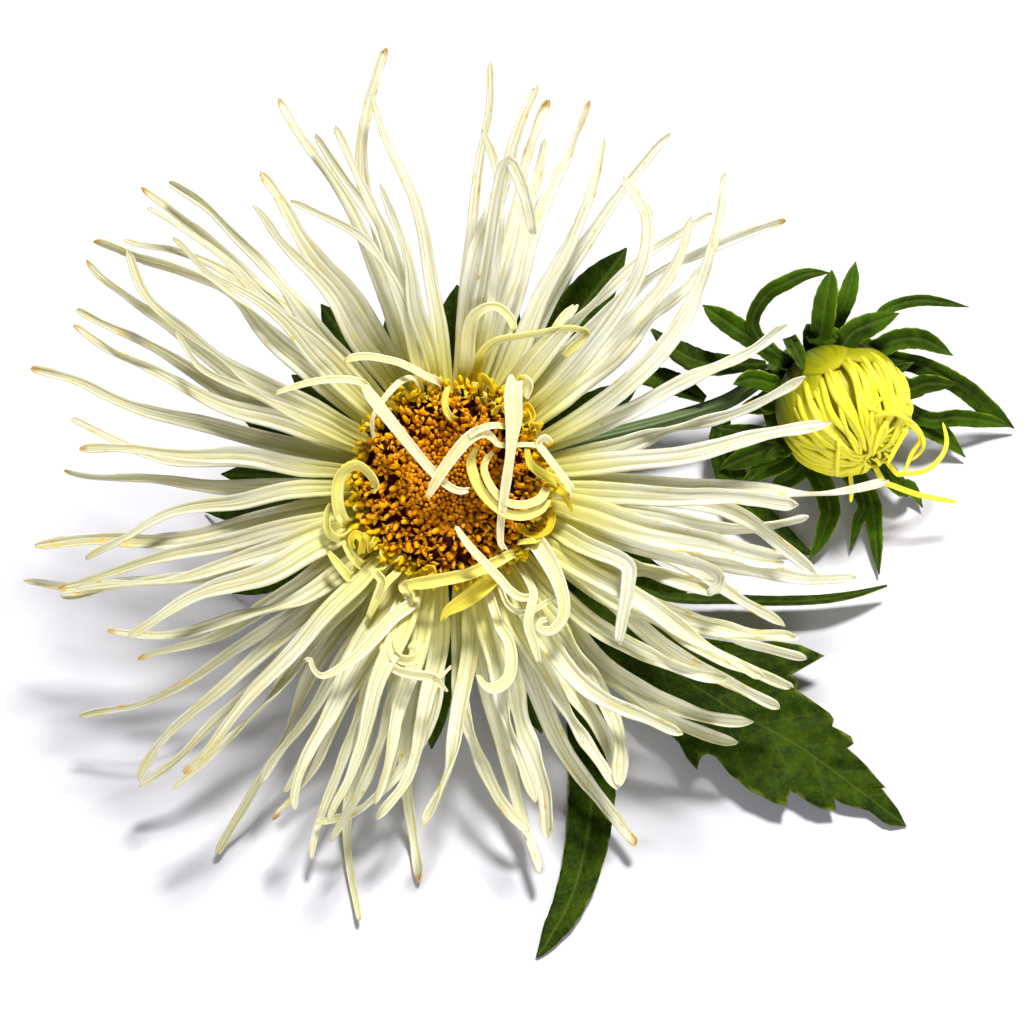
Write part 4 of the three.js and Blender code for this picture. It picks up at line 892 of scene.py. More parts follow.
def leaf_finish(colours, fresh=0.0):
    """Leaves and bracts: deep olive green, slightly paler veins, yellowish edges, a greyer underside

    Fresh ones have livelier green patches and pale rims.
    """
    finish = Finish("leaf", Roughness=0.6, Specular_IOR_Level=0.035)
    across_mm = (finish.surface_uv()[0] - 0.5) * UV_WIDTH
    edge = finish.value("edge")
    patches = finish.noise(420, 4)
    broad = finish.noise(110, 2)
    grain = finish.noise(2600, 2)
    mottle = finish.noise(1250, 3, roughness=0.7)
    beat = ((finish.value("phase").fraction() - 0.5) * 2).size()
    side_veins = beat.rise(0.88, 0.99) * (1 - edge.rise(0.6, 1.0))
    rib = 1 - across_mm.size().rise(0.1, 0.45)
    depth = (patches * 0.4 + broad * 0.3 + mottle * 0.3).rise(0.37, 0.66)
    colour = finish.mix(depth, colours.leaf_dark, colours.leaf_green)
    lively = (broad.rise(0.42, 0.64) * 0.6 + edge.rise(0.3, 1) * 0.4) * fresh
    colour = finish.mix(lively, colour, colours.bract_green)
    colour = finish.mix((side_veins * 0.12 + rib * 0.24).clamped(), colour, colours.leaf_vein)
    colour = finish.mix((edge + (patches - 0.5) * 0.25).rise(0.93, 1.04) * 0.7, colour, colours.leaf_edge)
    colour = finish.mix(edge.rise(0.84, 1.0) * patches.rise(0.36, 0.6) * fresh, colour, colours.bract_rim)
    colour = finish.mix(grain.rise(0.62, 0.76) * 0.3, colour, colours.leaf_edge)
    colour = finish.mix(finish.value("under") * 0.4, colour, colours.leaf_under)
    finish.colour(colour)
    finish.roughness(0.5 + patches * 0.25)
    finish.bump(patches * 0.5 + grain * 0.15 - side_veins * 0.12 - rib * 0.4, 0.0003, 0.7)
    return finish.material


def stem_finish(colours):
    """Green stem with pale ribs and a pale cut end"""
    finish = Finish("stem", Roughness=0.5)
    across, along = finish.surface_uv()
    fibres = finish.noise(1, 3, finish.vector(across * 30, along * 3))
    colour = finish.mix(fibres.rise(0.3, 0.7), colours.stem_green, colours.stem_light)
    colour = finish.mix(finish.value("cut"), colour, colours.stem_cut)
    finish.colour(colour)
    finish.bump(fibres, 0.00015, 0.6)
    return finish.material


def bud_petal_finish(colours):
    """Furled rays of the bud: bright yellow, olive at the foot, and painted olive shade in the creases and on
    the sides turned in
    """
    finish = Finish("bud_petal", Roughness=0.45, Specular_IOR_Level=0.25, Subsurface_Weight=0.3,
                    Subsurface_Scale=0.0008, Subsurface_Radius=(1, 1, 0.3))
    across, along = finish.surface_uv()
    streaks = finish.noise(1, 2, finish.vector(across * 8, along * 5, finish.value("tint") * 30))
    crease = finish.value("crease")
    colour = finish.mix(streaks.rise(0.35, 0.75) * 0.5, colours.bud_yellow, colours.bud_light)
    colour = finish.mix((crease + (streaks - 0.5) * 0.2).clamped(), colour, colours.bud_olive_and_shade)
    finish.colour(colour)
    finish.roughness(0.36 + streaks * 0.2)
    finish.bump(streaks, 0.0001, 0.5)
    return finish.material


def bud_scale_finish(colours):
    """Thin scales round the bud: yellow-green, paler at the edge, and green towards the foot, deepened as
    painted shade of the bud's left side
    """
    finish = Finish("bud_scale", Roughness=0.5, Specular_IOR_Level=0.1, Subsurface_Weight=0.3,
                    Subsurface_Scale=0.001, Subsurface_Radius=(1, 1, 0.3))
    across, along = finish.surface_uv()
    veins = finish.noise(1, 3, finish.vector(across * 16, along * 10))
    edge = finish.value("edge")
    # Darker towards the foot: the scales' green, deepened as painted shade on the bud's left side
    upper = (along / 0.14 + (veins - 0.5) * 0.7).rise(0.35, 1.0)
    colour = finish.mix(upper, colours.scale_green_and_shade, colours.scale_light)
    colour = finish.mix(edge.rise(0.5, 1.0) * along.rise(0.09, 0.15) * 0.45, colour, colours.scale_edge)
    finish.colour(colour)
    finish.bump(veins, 0.0001, 0.5)
    return finish.material


def parabola(x, first, second, third):
    """Value at x of the parabola through three points"""
    (x0, y0), (x1, y1), (x2, y2) = first, second, third
    return (y0 * (x - x1) * (x - x2) / ((x0 - x1) * (x0 - x2))
            + y1 * (x - x0) * (x - x2) / ((x1 - x0) * (x1 - x2))
            + y2 * (x - x0) * (x - x1) / ((x2 - x0) * (x2 - x1)))


def azimuth_at(ray, reach):
    stations = (ROOT_REACH, ray.foot), (ray.middle_reach, ray.middle), (ray.tip_reach, ray.tip)
    return parabola(reach, *stations)


def crowding(one, two):
    """How much two rays would run into each other in one layer"""
    reach = np.arange(18, min(one.tip_reach, two.tip_reach) - 1, 4)
    apart = np.abs(azimuth_at(one, reach) - azimuth_at(two, reach))
    apart = np.minimum(apart, np.abs(apart - 360))
    return int(np.sum(np.radians(apart) * reach < (one.width + two.width) / 2 - 0.2))


def layers_of(rays):
    """The longest rays take the lowest layer in which they lie clear of the others"""
    layers = [-1] * len(rays)
    for i in sorted(range(len(rays)), key=lambda k: (-rays[k].tip_reach, k)):
        clashes = [
            sum(crowding(rays[i], ray) for ray, layer in zip(rays, layers) if layer == level)
            for level in range(len(LAYERS))
        ]
        layers[i] = clashes.index(min(clashes))
    return layers


def resting_height(azimuth, level):
    """Lowest height of a ray: on the surface at the front left, over the leaves at the front right"""
    over_leaves = (azimuth > LEAVES_FROM) & (azimuth < LEAVES_TO)
    return np.where(over_leaves, LEAF_REST_HEIGHT, REST_HEIGHT) + LAYER_STEP * level


def outer_ray_path(ray, level, count):
    """Points along a long ray in its layer, lifted where they would sink below their resting height"""
    foot_out, middle_out, tip_out = LAYERS[level]
    reach = ray.tip_reach - (ray.tip_reach - ROOT_REACH) * np.linspace(1, 0, count) ** 1.5
    azimuth = azimuth_at(ray, reach)
    across, up = reach * np.cos(np.radians(azimuth)), reach * np.sin(np.radians(azimuth))
    out = parabola(reach, (ROOT_REACH, foot_out), (MIDDLE_REACH, middle_out), (OUTER_REACH, tip_out))
    over = face_point(across, up, out)[:, 2] - resting_height(azimuth, level)
    lift = (np.hypot(over, 1.2) - over) / 2
    return face_point(across, up, out + lift / AXIS[2])


def with_foot(points):
    """Points of a ray led back to its foot in the receptacle, where they start near the disc's rim"""
    points = [tuple(point) for point in points]
    reach = math.hypot(points[0][0], points[0][1])
    if points[0][2] > LED_BELOW or reach < LED_BEYOND:
        return points
    inwards = (ROOT_REACH - 0.6) / reach
    foot = (inwards * points[0][0], inwards * points[0][1], BENT_FOOT, *points[0][3:])
    return [foot, *points]


def seen_path(points, count):
    """Smooth path through points given as (across, up, out), with the widths of those that have one"""
    path = smooth_path(points, count)
    return face_point(path[:, 0], path[:, 1], path[:, 2]), path[:, 3:]


def frames_from_tip(path, turned):
    """Frames that face the viewer at the tip, but for a turn, and follow the path's bends down to the foot"""
    back = path[::-1]
    tangents, normals, _ = frames_along(back, AXIS, carried=True)
    tangents, normals = -tangents[::-1], normals[::-1]
    sides = np.cross(tangents, normals)
    normals, sides = turn_frames(normals, sides, np.full(len(path), turned))
    return tangents, normals, sides


def wander(path, normals, sides, generator, sideways, outwards):
    """A path with slight bends of its own, still at its foot"""
    t = shares_along(path)
    ease = rise(t, 0.1, 0.5)
    phases = generator.uniform(0, 2 * math.pi, 4)
    swing = np.sin(5 * t + phases[0]) + 0.5 * np.sin(13 * t + phases[1])
    nod = np.sin(4.5 * t + phases[2]) + 0.5 * np.sin(12 * t + phases[3])
    swing = ease * swing + generator.choice((-1.4, 0, 0, 1.4)) * rise(t, 0.82, 1)
    return path + (sideways * swing)[:, None] * sides + (outwards * ease * nod)[:, None] * normals


# Length at the tip of a ray over which its end is slanted, rounded or notched
TIP_LENGTH = 2.5

# Width of a long ray along its length, as a share of its usual width
RAY_STATIONS = (0, 0.22, 0.42, 0.7, 0.9, 1)
RAY_WIDTHS = (0.8, 1.26, 1.06, 0.65, 0.45, 0.37)

# Section of a ray: height of its two ribs, its creases and its middle, as shares of the groove's depth
SECTION = np.array([0, 0.55, 0.75, -0.8, 0.35, 0.75, 0.3, -0.8, 0.75, 0.5, 0])


def channel(widths, rolls, thickness, groove):
    """Upper and lower (side, out) offsets of a rolled and grooved ray, row by row"""
    u = np.linspace(-1, 1, len(SECTION))
    half_roll = rolls[:, None] / 2
    radius = widths[:, None] / 2 / np.sin(np.minimum(half_roll, math.pi / 2))
    rim = radius * (1 - np.cos(half_roll))
    ripple = groove * widths[:, None] * SECTION
    thin = thickness * (1 - 0.55 * u ** 4)
    angle = half_roll * u
    upper = radius * np.sin(angle), radius * (1 - np.cos(angle)) - rim + ripple
    lower = (radius + thin) * np.sin(angle), radius - (radius + thin) * np.cos(angle) - rim + ripple
    return u, upper, lower


def rounded_end(distance, radius):
    """Share of a ray's width near its end, where it closes round a radius"""
    return np.sqrt(np.clip(1 - (1 - np.minimum(1, distance / radius)) ** 2, 0.04, 1))


def slow_swing(t, generator, waves=3):
    """A smooth random number between about -1 and 1 along a ray"""
    phases = generator.uniform(0, 2 * math.pi, waves)
    return sum(np.sin((3 + 4 * k) * t + phase) for k, phase in enumerate(phases)) / math.sqrt(2 * waves)


def add_ray(form, path, frames, widths, rolls, sizes, generator, yellow, brown=0.0, groove=1.0, aged=0.0):
    """One ray floret along its path"""
    t, length = shares_along(path), length_of(path)
    tangents, normals, sides = frames
    u, upper, lower = channel(widths, rolls, sizes.ray_thickness / MM, groove * sizes.ray_groove)
    bevel, bluntness = generator.uniform(-1, 1), generator.uniform(0.2, 1.2)
    notch = generator.choice((0, 0, 0.9)) * np.maximum(0, 1 - np.abs(u - generator.uniform(-0.3, 0.3)) / 0.5)
    end = length * (1 - t)
    widths_at_tip = np.interp(TIP_LENGTH, end[::-1], widths[::-1])
    cut_back = 0.5 * bevel * u - 0.6 * bluntness * u ** 2 - notch
    shift = rise(-end, -TIP_LENGTH, 0)[:, None] * cut_back * 0.5 * widths_at_tip
    grids = [
        path[:, None] + side[..., None] * sides[:, None] + out[..., None] * normals[:, None]
        + shift[..., None] * tangents[:, None]
        for side, out in (upper, lower)
    ]
    uvs = np.stack(np.broadcast_arrays(((u + 1) / 2)[None, :], (t * length / UV_LENGTH)[:, None]), axis=-1)
    tip = rise(t, 1 - 3.4 / length, 1)[:, None]
    form.add_sheet(*grids, uvs, yellow=yellow[:, None], brown=brown * tip, aged=aged,
                   tint=generator.uniform(0, 1))


def add_outer_ray(form, path, width, sizes, generator, brown, aged, broad, fresh):
    """A long ray: broad and nearly flat above the foot, rolled and slender towards the tip

    From 0 to 1: brown is how withered its tip is; the next how far it lies to the side darkened with painted
    shade; broad and fresh how far it lies to those sides.
    """
    t = shares_along(path)
    _, normals, sides = frames_along(path, AXIS)
    path = wander(path, normals, sides, generator, 0.5 + 0.35 * aged, 0.6 + 0.3 * aged)
    tangents, normals, sides = frames_along(path, AXIS)
    turned = generator.normal(0, sizes.ray_twist) * rise(t, 0.1, 1)
    if generator.uniform() < 0.45:
        place = generator.uniform(0.45, 0.9)
        turned = turned + generator.choice((-1, 1)) * 1.1 * np.exp(-((t - place) / 0.1) ** 2)
    normals, sides = turn_frames(normals, sides, turned)
    widths = width * np.interp(t, RAY_STATIONS, RAY_WIDTHS)
    widths = widths * (1 + 0.12 * slow_swing(t, generator))
    widths = widths * (1 + generator.choice((0, 0.1, 0.35)) * rise(t, 0.84, 0.93) * (1 - rise(t, 0.95, 1)))
    widths = widths * (1 + 0.07 * rise(t, 0.4, 0.8) * np.sin(38 * t + generator.uniform(0, 6)))
    widths = widths * (1 + (0.35 * broad - 0.1 * aged) * rise(t, 0.3, 0.75))
    widths = widths * rounded_end(length_of(path) * (1 - t), generator.uniform(0.6, 2.4))
    rolls = 0.45 + 0.65 * rise(t, 0.25, 0.75) + 0.3 * slow_swing(t, generator, 2)
    rolls = rolls * generator.uniform(0.5, 1.35)
    rolls = sizes.ray_roll * np.maximum(0.15, rolls) + generator.uniform(-0.3, 0.9) * rise(t, 0.85, 1)
    yellow = petal_yellow(face_reach(path))
    add_ray(form, path, (tangents, normals, sides), widths, rolls, sizes, generator,
            yellow + 0.28 * fresh * (1 - yellow), brown, aged=aged)


def face_reach(path):
    """Distance of points from the bloom's axis"""
    offset = path - HEAD
    return np.hypot(offset @ RIGHT, offset @ UP)


def turned_rings(profile, centre, axis, across, sides):
    """Rings round an axis, from (radius, height) pairs"""
    other = np.cross(axis, across)
    angle = -np.linspace(0, 2 * math.pi, sides, endpoint=False)
    around = np.cos(angle)[:, None] * across + np.sin(angle)[:, None] * other
    return np.stack([centre + height * axis + radius * around for radius, height in profile])


def ring_uvs(rings):
    rows, sides = rings.shape[:2]
    along = np.linspace(0, 1, rows)[:, None] * np.ones(sides)
    around = np.ones(rows)[:, None] * np.abs(np.linspace(-1, 1, sides))
    return np.stack([around, along], axis=-1)


def stalk_rings(path, radii, ribs, rib_height):
    """Rings of a ribbed stalk along a path"""
    _, normals, sides = frames_along(path, SKYWARD, carried=True)
    angle = np.linspace(0, 2 * math.pi, 6 * ribs, endpoint=False)
    swell = 1 + rib_height * np.cos(ribs * angle)
    out = (np.cos(angle) * swell)[None, :, None] * normals[:, None]
    across = (np.sin(angle) * swell)[None, :, None] * sides[:, None]
    return path[:, None] + radii[:, None, None] * (out + across)


def petal_yellow(reach):
    """How yellow a long ray is at a distance from the bloom's axis"""
    return 1 - rise(reach, 7, 37)


def share_on_side(azimuth, side, low):
    """How far an azimuth lies to a side of the bloom, from 0 to 1"""
    return rise(math.cos(math.radians(azimuth - side)), low, 0.9)


def make_outer_rays(sizes, colours):
    form = Form()
    rays = [Ray(*row) for row in OUTER_RAYS]
    for i, (ray, level) in enumerate(zip(rays, layers_of(rays))):
        generator = np.random.default_rng(OUTER_RAY_SEED + i)
        brown = 1.0 if ray.tip in BROWN_TIPS else generator.choice([0.0, 0.35])
        # How far the ray lies to the left side, which is darkened with painted shade
        aged = share_on_side(ray.middle, SHADED_SIDE, -0.3)
        broad = share_on_side(ray.middle, BROAD_SIDE, 0.4)
        fresh = share_on_side(ray.middle, YELLOW_SIDE, 0)
        path = outer_ray_path(ray, level, 40)
        add_outer_ray(form, path, ray.width, sizes, generator, brown, aged, broad, fresh)
    for i, (width, *points) in enumerate(LOOSE_RAYS):
        generator = np.random.default_rng(LOOSE_RAY_SEED + i)
        path, _ = seen_path(with_foot(points), 44)
        t = shares_along(path)
        widths = width * np.interp(t, (0, 0.3, 0.7, 0.95, 1), (0.7, 1.1, 0.8, 0.6, 0.4))
        rolls = sizes.ray_roll * (0.8 + 0.3 * slow_swing(t, generator, 2))
        add_ray(form, path, frames_from_tip(path, 0.3), widths, rolls, sizes, generator,
                petal_yellow(face_reach(path)), brown=0.5)
    place_form("outer_rays", form, long_ray_finish(colours), "ray_petals", "ray_florets")


def make_inner_rays(sizes, colours):
    form = Form()
    for i, (turned, yellow, *points) in enumerate(INNER_RAYS):
        generator = np.random.default_rng(INNER_RAY_SEED + i)
        points = with_foot(points)
        path, widths = seen_path(points, 8 + 5 * len(points))
        t = np.linspace(0, 1, len(path))
        rolls = sizes.ray_roll * (1 + 0.35 * slow_swing(t, generator, 2))
        yellow_at = np.clip(yellow + 0.8 * (1 - rise(t, 0, 0.35)), 0, 1)
        frames = frames_from_tip(path, math.radians(turned))
        add_ray(form, path, frames, widths[:, 0], rolls, sizes, generator, yellow_at,
                brown=generator.choice([0, 0, 0.4]), groove=0.5)
    add_rim_curls(form, sizes)
    place_form("inner_rays", form, curl_finish(colours), "ray_petals", "ray_florets")


def add_rim_curls(form, sizes):
    """Short yellow rays that curl up between the disc and the long rays"""
    t = np.linspace(0, 1, 9)
    for i in range(sizes.rim_curls):
        generator = np.random.default_rng(RIM_CURL_SEED + i)
        azimuth = 2 * math.pi * (i + generator.uniform(-0.3, 0.3)) / sizes.rim_curls
        around = np.linspace(0, generator.uniform(1.5, 5) * generator.choice((-1, 1)), len(t))
        coil = generator.uniform(0.5, 1.1) * (1 - 0.45 * t)
        reach = 14.6 + generator.uniform(-0.4, 1.2) - coil * np.cos(around)
        aside = coil * np.sin(around)
        out = 1 + generator.uniform(2, 4.6) * rise(t, 0, 0.7)
        across = reach * math.cos(azimuth) - aside * math.sin(azimuth)
        up = reach * math.sin(azimuth) + aside * math.cos(azimuth)
        points = np.stack([across, up, out, np.linspace(1.2, 0.5, len(t))], axis=1)
        path, widths = seen_path(with_foot(points), 26)
        rolls = np.full(len(path), sizes.ray_roll * generator.uniform(0.8, 1.2))
        yellow = np.full(len(path), generator.uniform(0.6, 1))
        frames = frames_from_tip(path, generator.uniform(0.2, 1.2))
        add_ray(form, path, frames, widths[:, 0], rolls, sizes, generator, yellow, groove=0.5)


def make_receptacle(sizes, colours):
    """The dish under the florets, which the rays stand in"""
    form = Form()
    profile = [(0.01, -DISH_DEPTH), (13.6, -DISH_DEPTH), (DISH_RADIUS - 0.3, -DISH_DEPTH + 0.8),
               (DISH_RADIUS, -5), (DISH_RADIUS, -2), (DISH_RADIUS - 0.3, -0.9), (DISC_RADIUS + 0.6, 0),
               (12, 0.1), (0.01, 0.1)]
    rings = turned_rings(profile, HEAD, AXIS, RIGHT, 64)
    form.add_tube(rings[:, ::-1], ring_uvs(rings), yellow=1.0, brown=0.0, aged=0.0, tint=0.5)
    place_form("receptacle", form, long_ray_finish(colours), "ray_petals", "ray_florets")


def floret_rings(profile, lobes, sides):
    """Rings round Z from (radius, height, lobe depth) rows"""
    angle = np.linspace(0, 2 * math.pi, sides, endpoint=False)
    rings = []
    for radius, height, depth in profile:
        reach = radius * (1 + depth * np.cos(lobes * angle))
        ring = [reach * np.cos(angle), -reach * np.sin(angle), np.full(sides, height)]
        rings.append(np.stack(ring, axis=1))
    return np.stack(rings)[:, ::-1]


def floret_model(name, bodies):
    """A hidden model of one floret, from its bodies of (radius, height, lobe depth) rows"""
    form = Form()
    for profile, lobes, sides, shades in bodies:
        rings = floret_rings(profile, lobes, sides)
        form.add_tube(rings, ring_uvs(rings), height=np.asarray(shades)[:, None])
    return bpy.data.objects.new(name, form.mesh(name))


# Models of florets: bodies as rows of (radius, height, lobe depth), lobes, sides, and shades from foot to
# tip; low shades take the painted shade between florets, high ones the gold
CLOSED_FLORET = (
    (((0.26, -0.7, 0), (0.3, 0, 0), (0.36, 0.3, 0.08), (0.31, 0.58, 0.12), (0.17, 0.76, 0.2), (0.02, 0.8, 0)),
     5, 10, (0, 0.3, 0.5, 0.75, 0.9, 0.8)),
)
BEAD_FLORET = (
    (((0.2, -1.2, 0), (0.2, 0.3, 0), (0.3, 0.75, 0.08), (0.42, 1.05, 0.25), (0.34, 1.1, 0.3),
      (0.12, 0.95, 0)),
     5, 10, (0, 0.1, 0.3, 0.6, 0.5, 0.2)),
    (((0.1, 0.85, 0), (0.22, 1.05, 0.05), (0.36, 1.45, 0.08), (0.38, 2.0, 0.08), (0.28, 2.5, 0.1),
      (0.12, 2.76, 0.1), (0.02, 2.8, 0)),
     5, 10, (0.15, 0.35, 0.7, 1, 1, 0.9, 0.85)),
)
OPEN_FLORET = (
    (((0.2, -1.2, 0), (0.22, 0.5, 0), (0.3, 1.1, 0.06), (0.5, 1.55, 0.35), (0.78, 1.75, 0.6),
      (0.9, 1.66, 0.7), (0.74, 1.58, 0.65), (0.4, 1.4, 0.35), (0.18, 0.9, 0)),
     5, 20, (0, 0.1, 0.4, 0.8, 1, 1, 0.85, 0.5, 0.15)),
    (((0.08, 0.9, 0), (0.12, 1.6, 0), (0.24, 2.0, 0.3), (0.2, 2.2, 0.2), (0.02, 2.26, 0)),
     2, 8, (0.2, 0.5, 0.9, 0.8, 0.7)),
)
STYLE = (
    (((0.07, -1, 0), (0.08, 0.6, 0), (0.07, 1.7, 0), (0.1, 2.3, 0.2), (0.14, 2.6, 0.3), (0.02, 2.7, 0)),
     2, 6, (0, 0.15, 0.3, 0.5, 0.6, 0.6)),
)


def scatter_tree():
    """Node group that sets copies of a floret on a ring of the disc's dome by the golden angle"""
    tree = bpy.data.node_groups.new("Floret scatter", "GeometryNodeTree")
    sockets = {}
    for name, kind in (
        ("Geometry", "Geometry"), ("Floret", "Object"), ("Florets", "Int"), ("Inner Radius", "Float"),
        ("Outer Radius", "Float"), ("Dome Radius", "Float"), ("Dome Rise", "Float"),
        ("Size at Middle", "Float"), ("Size at Rim", "Float"), ("Lean", "Float"), ("Wobble", "Float"),
        ("Lift", "Float"), ("Seed", "Int"), ("Finish", "Material"),
    ):
        sockets[name] = tree.interface.new_socket(name, in_out="INPUT", socket_type="NodeSocket" + kind)
    tree.interface.new_socket("Geometry", in_out="OUTPUT", socket_type="NodeSocketGeometry")
    nodes = Nodes(tree)
    given = nodes.node("NodeGroupInput").outputs

    def level_of(name):
        return Level(nodes, given[name])

    def chance(low, high, salt):
        return nodes.level("FunctionNodeRandomValue", {"data_type": "FLOAT"}, output=1, Min_001=low,
                           Max_001=high, Seed=level_of("Seed") + salt)

    inner, outer, dome = level_of("Inner Radius"), level_of("Outer Radius"), level_of("Dome Radius")
    order = nodes.level("GeometryNodeInputIndex") + 0.5
    area = inner * inner + (outer * outer - inner * inner) * order / level_of("Florets")
    reach = area ** 0.5 * chance(0.97, 1.03, 1)
    share = reach / dome
    angle = order * GOLDEN_ANGLE + chance(-0.06, 0.06, 2) + level_of("Seed")
    x, y = reach * angle.cosine(), reach * angle.sine()
    z = level_of("Dome Rise") * (1 - share * share) + level_of("Lift") * chance(-1, 1, 3)
    place = nodes.node("ShaderNodeCombineXYZ", {}, x, y, z).outputs[0]
    points = nodes.node("GeometryNodePoints", {}, Count=given["Florets"], Position=place).outputs[0]
    lean, wobble = level_of("Lean") * share / reach, level_of("Wobble")
    heading = nodes.node("ShaderNodeCombineXYZ", {}, x * lean + wobble * chance(-1, 1, 4),
                         y * lean + wobble * chance(-1, 1, 5), 1.0).outputs[0]
    upright = nodes.node("FunctionNodeAlignRotationToVector", {"axis": "Z"}, Vector=heading).outputs[0]
    spin = nodes.node("FunctionNodeAxisAngleToRotation", {}, Axis=(0, 0, 1), Angle=chance(0, 6.283, 6))
    turned = nodes.node("FunctionNodeRotateRotation", {"rotation_space": "LOCAL"}, upright, spin.outputs[0])
    small, large = level_of("Size at Middle"), level_of("Size at Rim")
    size = small + (large - small) * share
    model = nodes.node("GeometryNodeObjectInfo", {}, Object=given["Floret"], As_Instance=True)
    copies = nodes.node("GeometryNodeInstanceOnPoints", {}, Points=points, Instance=model.outputs["Geometry"],
                        Rotation=turned.outputs[0], Scale=size * chance(0.8, 1.2, 7)).outputs[0]
    for name, level in (("tint", chance(0, 1, 8)), ("reach", share)):
        copies = nodes.node("GeometryNodeStoreNamedAttribute", {"data_type": "FLOAT", "domain": "INSTANCE"},
                            Geometry=copies, Name=name, Value=level).outputs[0]
    whole = nodes.node("GeometryNodeRealizeInstances", {}, Geometry=copies).outputs[0]
    done = nodes.node("GeometryNodeSetMaterial", {}, Geometry=whole, Material=given["Finish"]).outputs[0]
    nodes.node("NodeGroupOutput", {}, done)
    return tree, sockets


def scatter_florets(name, tree, sockets, **inputs):
    """Runs the scatter on an empty mesh and returns the plain mesh that it makes"""
    holder = bpy.data.objects.new(name, bpy.data.meshes.new(name))
    bpy.context.scene.collection.objects.link(holder)
    modifier = holder.modifiers.new("Scatter", "NODES")
    modifier.node_group = tree
    for key, value in inputs.items():
        modifier[sockets[key.replace("_", " ")].identifier] = value
    bpy.context.view_layer.update()
    depsgraph = bpy.context.evaluated_depsgraph_get()
    mesh = bpy.data.meshes.new_from_object(holder.evaluated_get(depsgraph))
    holder.modifiers.remove(modifier)
    bpy.data.objects.remove(holder)
    return mesh


def make_disc(sizes, colours):
    finish = floret_finish(colours)
    form = Form()
    profile = [(0.01, GAP), (DISC_RADIUS, GAP)]
    profile += [(reach, DISC_FOOT + DISC_RISE * (1 - (reach / DISC_RADIUS) ** 2))
                for reach in (13.3, 11.5, 9.5, 7.5, 5.5, 3.5, 1.8, 0.01)]
    rings = turned_rings(profile, HEAD, AXIS, RIGHT, 48)
    shares = np.array([row[0] / DISC_RADIUS for row in profile])[:, None]
    # The dome under the florets is painted almost all in the shade colour between them
    form.add_tube(rings[:, ::-1], ring_uvs(rings), height=0.1, tint=0.2, reach=shares)
    place_form("disc_dome", form, finish, "disc", "disc_florets")
    tree, sockets = scatter_tree()
    to_bloom = Matrix((
        (RIGHT[0], UP[0], AXIS[0], HEAD[0] * MM), (RIGHT[1], UP[1], AXIS[1], HEAD[1] * MM),
        (RIGHT[2], UP[2], AXIS[2], HEAD[2] * MM), (0, 0, 0, 1),
    ))
    middle, edge = 7.2 * MM, (DISC_RADIUS + 1.6) * MM
    for name, model, count, inner, outer, small, large, lean, wobble, lift in (
        ("closed_florets", CLOSED_FLORET, sizes.closed_florets, 0, 1.12 * middle, 0.8, 1.7, 0.1, 0.2, 0.2),
        ("bead_florets", BEAD_FLORET, sizes.bead_florets, 0.85 * middle, edge, 0.75, 1.15, 0.75, 0.5, 0.35),
        ("open_florets", OPEN_FLORET, sizes.open_florets, 0.95 * middle, edge, 0.7, 1.15, 0.5, 0.3, 0.3),
        ("floret_styles", STYLE, sizes.floret_styles, 0.8 * middle, edge, 0.9, 1.3, 0.4, 0.8, 0.2),
    ):
        mesh = scatter_florets(
            name, tree, sockets, Floret=floret_model(name + "_model", model), Florets=count,
            Inner_Radius=inner, Outer_Radius=outer, Dome_Radius=DISC_RADIUS * MM, Dome_Rise=DISC_RISE * MM,
            Size_at_Middle=small, Size_at_Rim=large, Lean=lean, Wobble=wobble, Lift=lift * MM,
            Seed=len(name) + count, Finish=finish,
        )
        mesh.transform(to_bloom @ Matrix.Translation(Vector((0, 0, DISC_FOOT * MM))))
        mesh.shade_smooth()
        place_piece(name, mesh, finish, "disc", "disc_florets")


def leaf_half(t, width, widest, foot, point):
    """Half width of a leaf along it: broadest at a share of its length, with a sharp or a blunt point"""
    rising = foot + (1 - foot) * np.sin(math.pi / 2 * np.minimum(1, t / widest)) ** 1.2
    falling = 1 - (np.maximum(0, t - widest) / (1 - widest)) ** point
    return width / 2 * np.maximum(0.05, rising * falling)


def add_blade(form, path, face, half, thickness, generator, fold=0.12, curl=0.0, twist=0.0, teeth=0.03):
    """A lance-shaped leaf or bract along its path, with its half width at each point"""
    t, length = np.linspace(0, 1, len(path)), length_of(path)
    _, normals, sides = frames_along(path, face)
    normals, sides = turn_frames(normals, sides, twist * rise(t, 0.2, 1))
    u = np.linspace(-1, 1, 11)
    saws = [(length / 2.2 * t + generator.uniform()) % 1 + 0.5 * np.sin(9 * t + generator.uniform(0, 6))
            for _ in range(2)]
    saw = np.where(u < 0, saws[0][:, None], saws[1][:, None]) - 0.5
    edges = half[:, None] * (1 + teeth * 2 * saw * rise(np.abs(u), 0.5, 1) * rise(t, 0.1, 0.3)[:, None])
    across = edges * u
    lift = half[:, None] * (fold * np.abs(u) + curl * u ** 2 - 0.06 * np.cos(math.pi * u) ** 8)
    thin = thickness * (1 - 0.6 * u ** 6)[None, :]
    middle = path[:, None] + across[..., None] * sides[:, None] + lift[..., None] * normals[:, None]
    upper = middle + (thin / 2)[..., None] * normals[:, None]
    lower = middle - (thin / 2)[..., None] * normals[:, None]
    along = (t * length)[:, None] + 0 * across
    uvs = np.stack([0.5 + across / UV_WIDTH, along / UV_LENGTH], axis=-1)
    phase = (along - np.abs(across) / math.tan(VEIN_SLANT)) / VEIN_STEP + 20
    form.add_sheet(upper, lower, uvs, edge=np.abs(u)[None, :] + 0 * across, phase=phase)


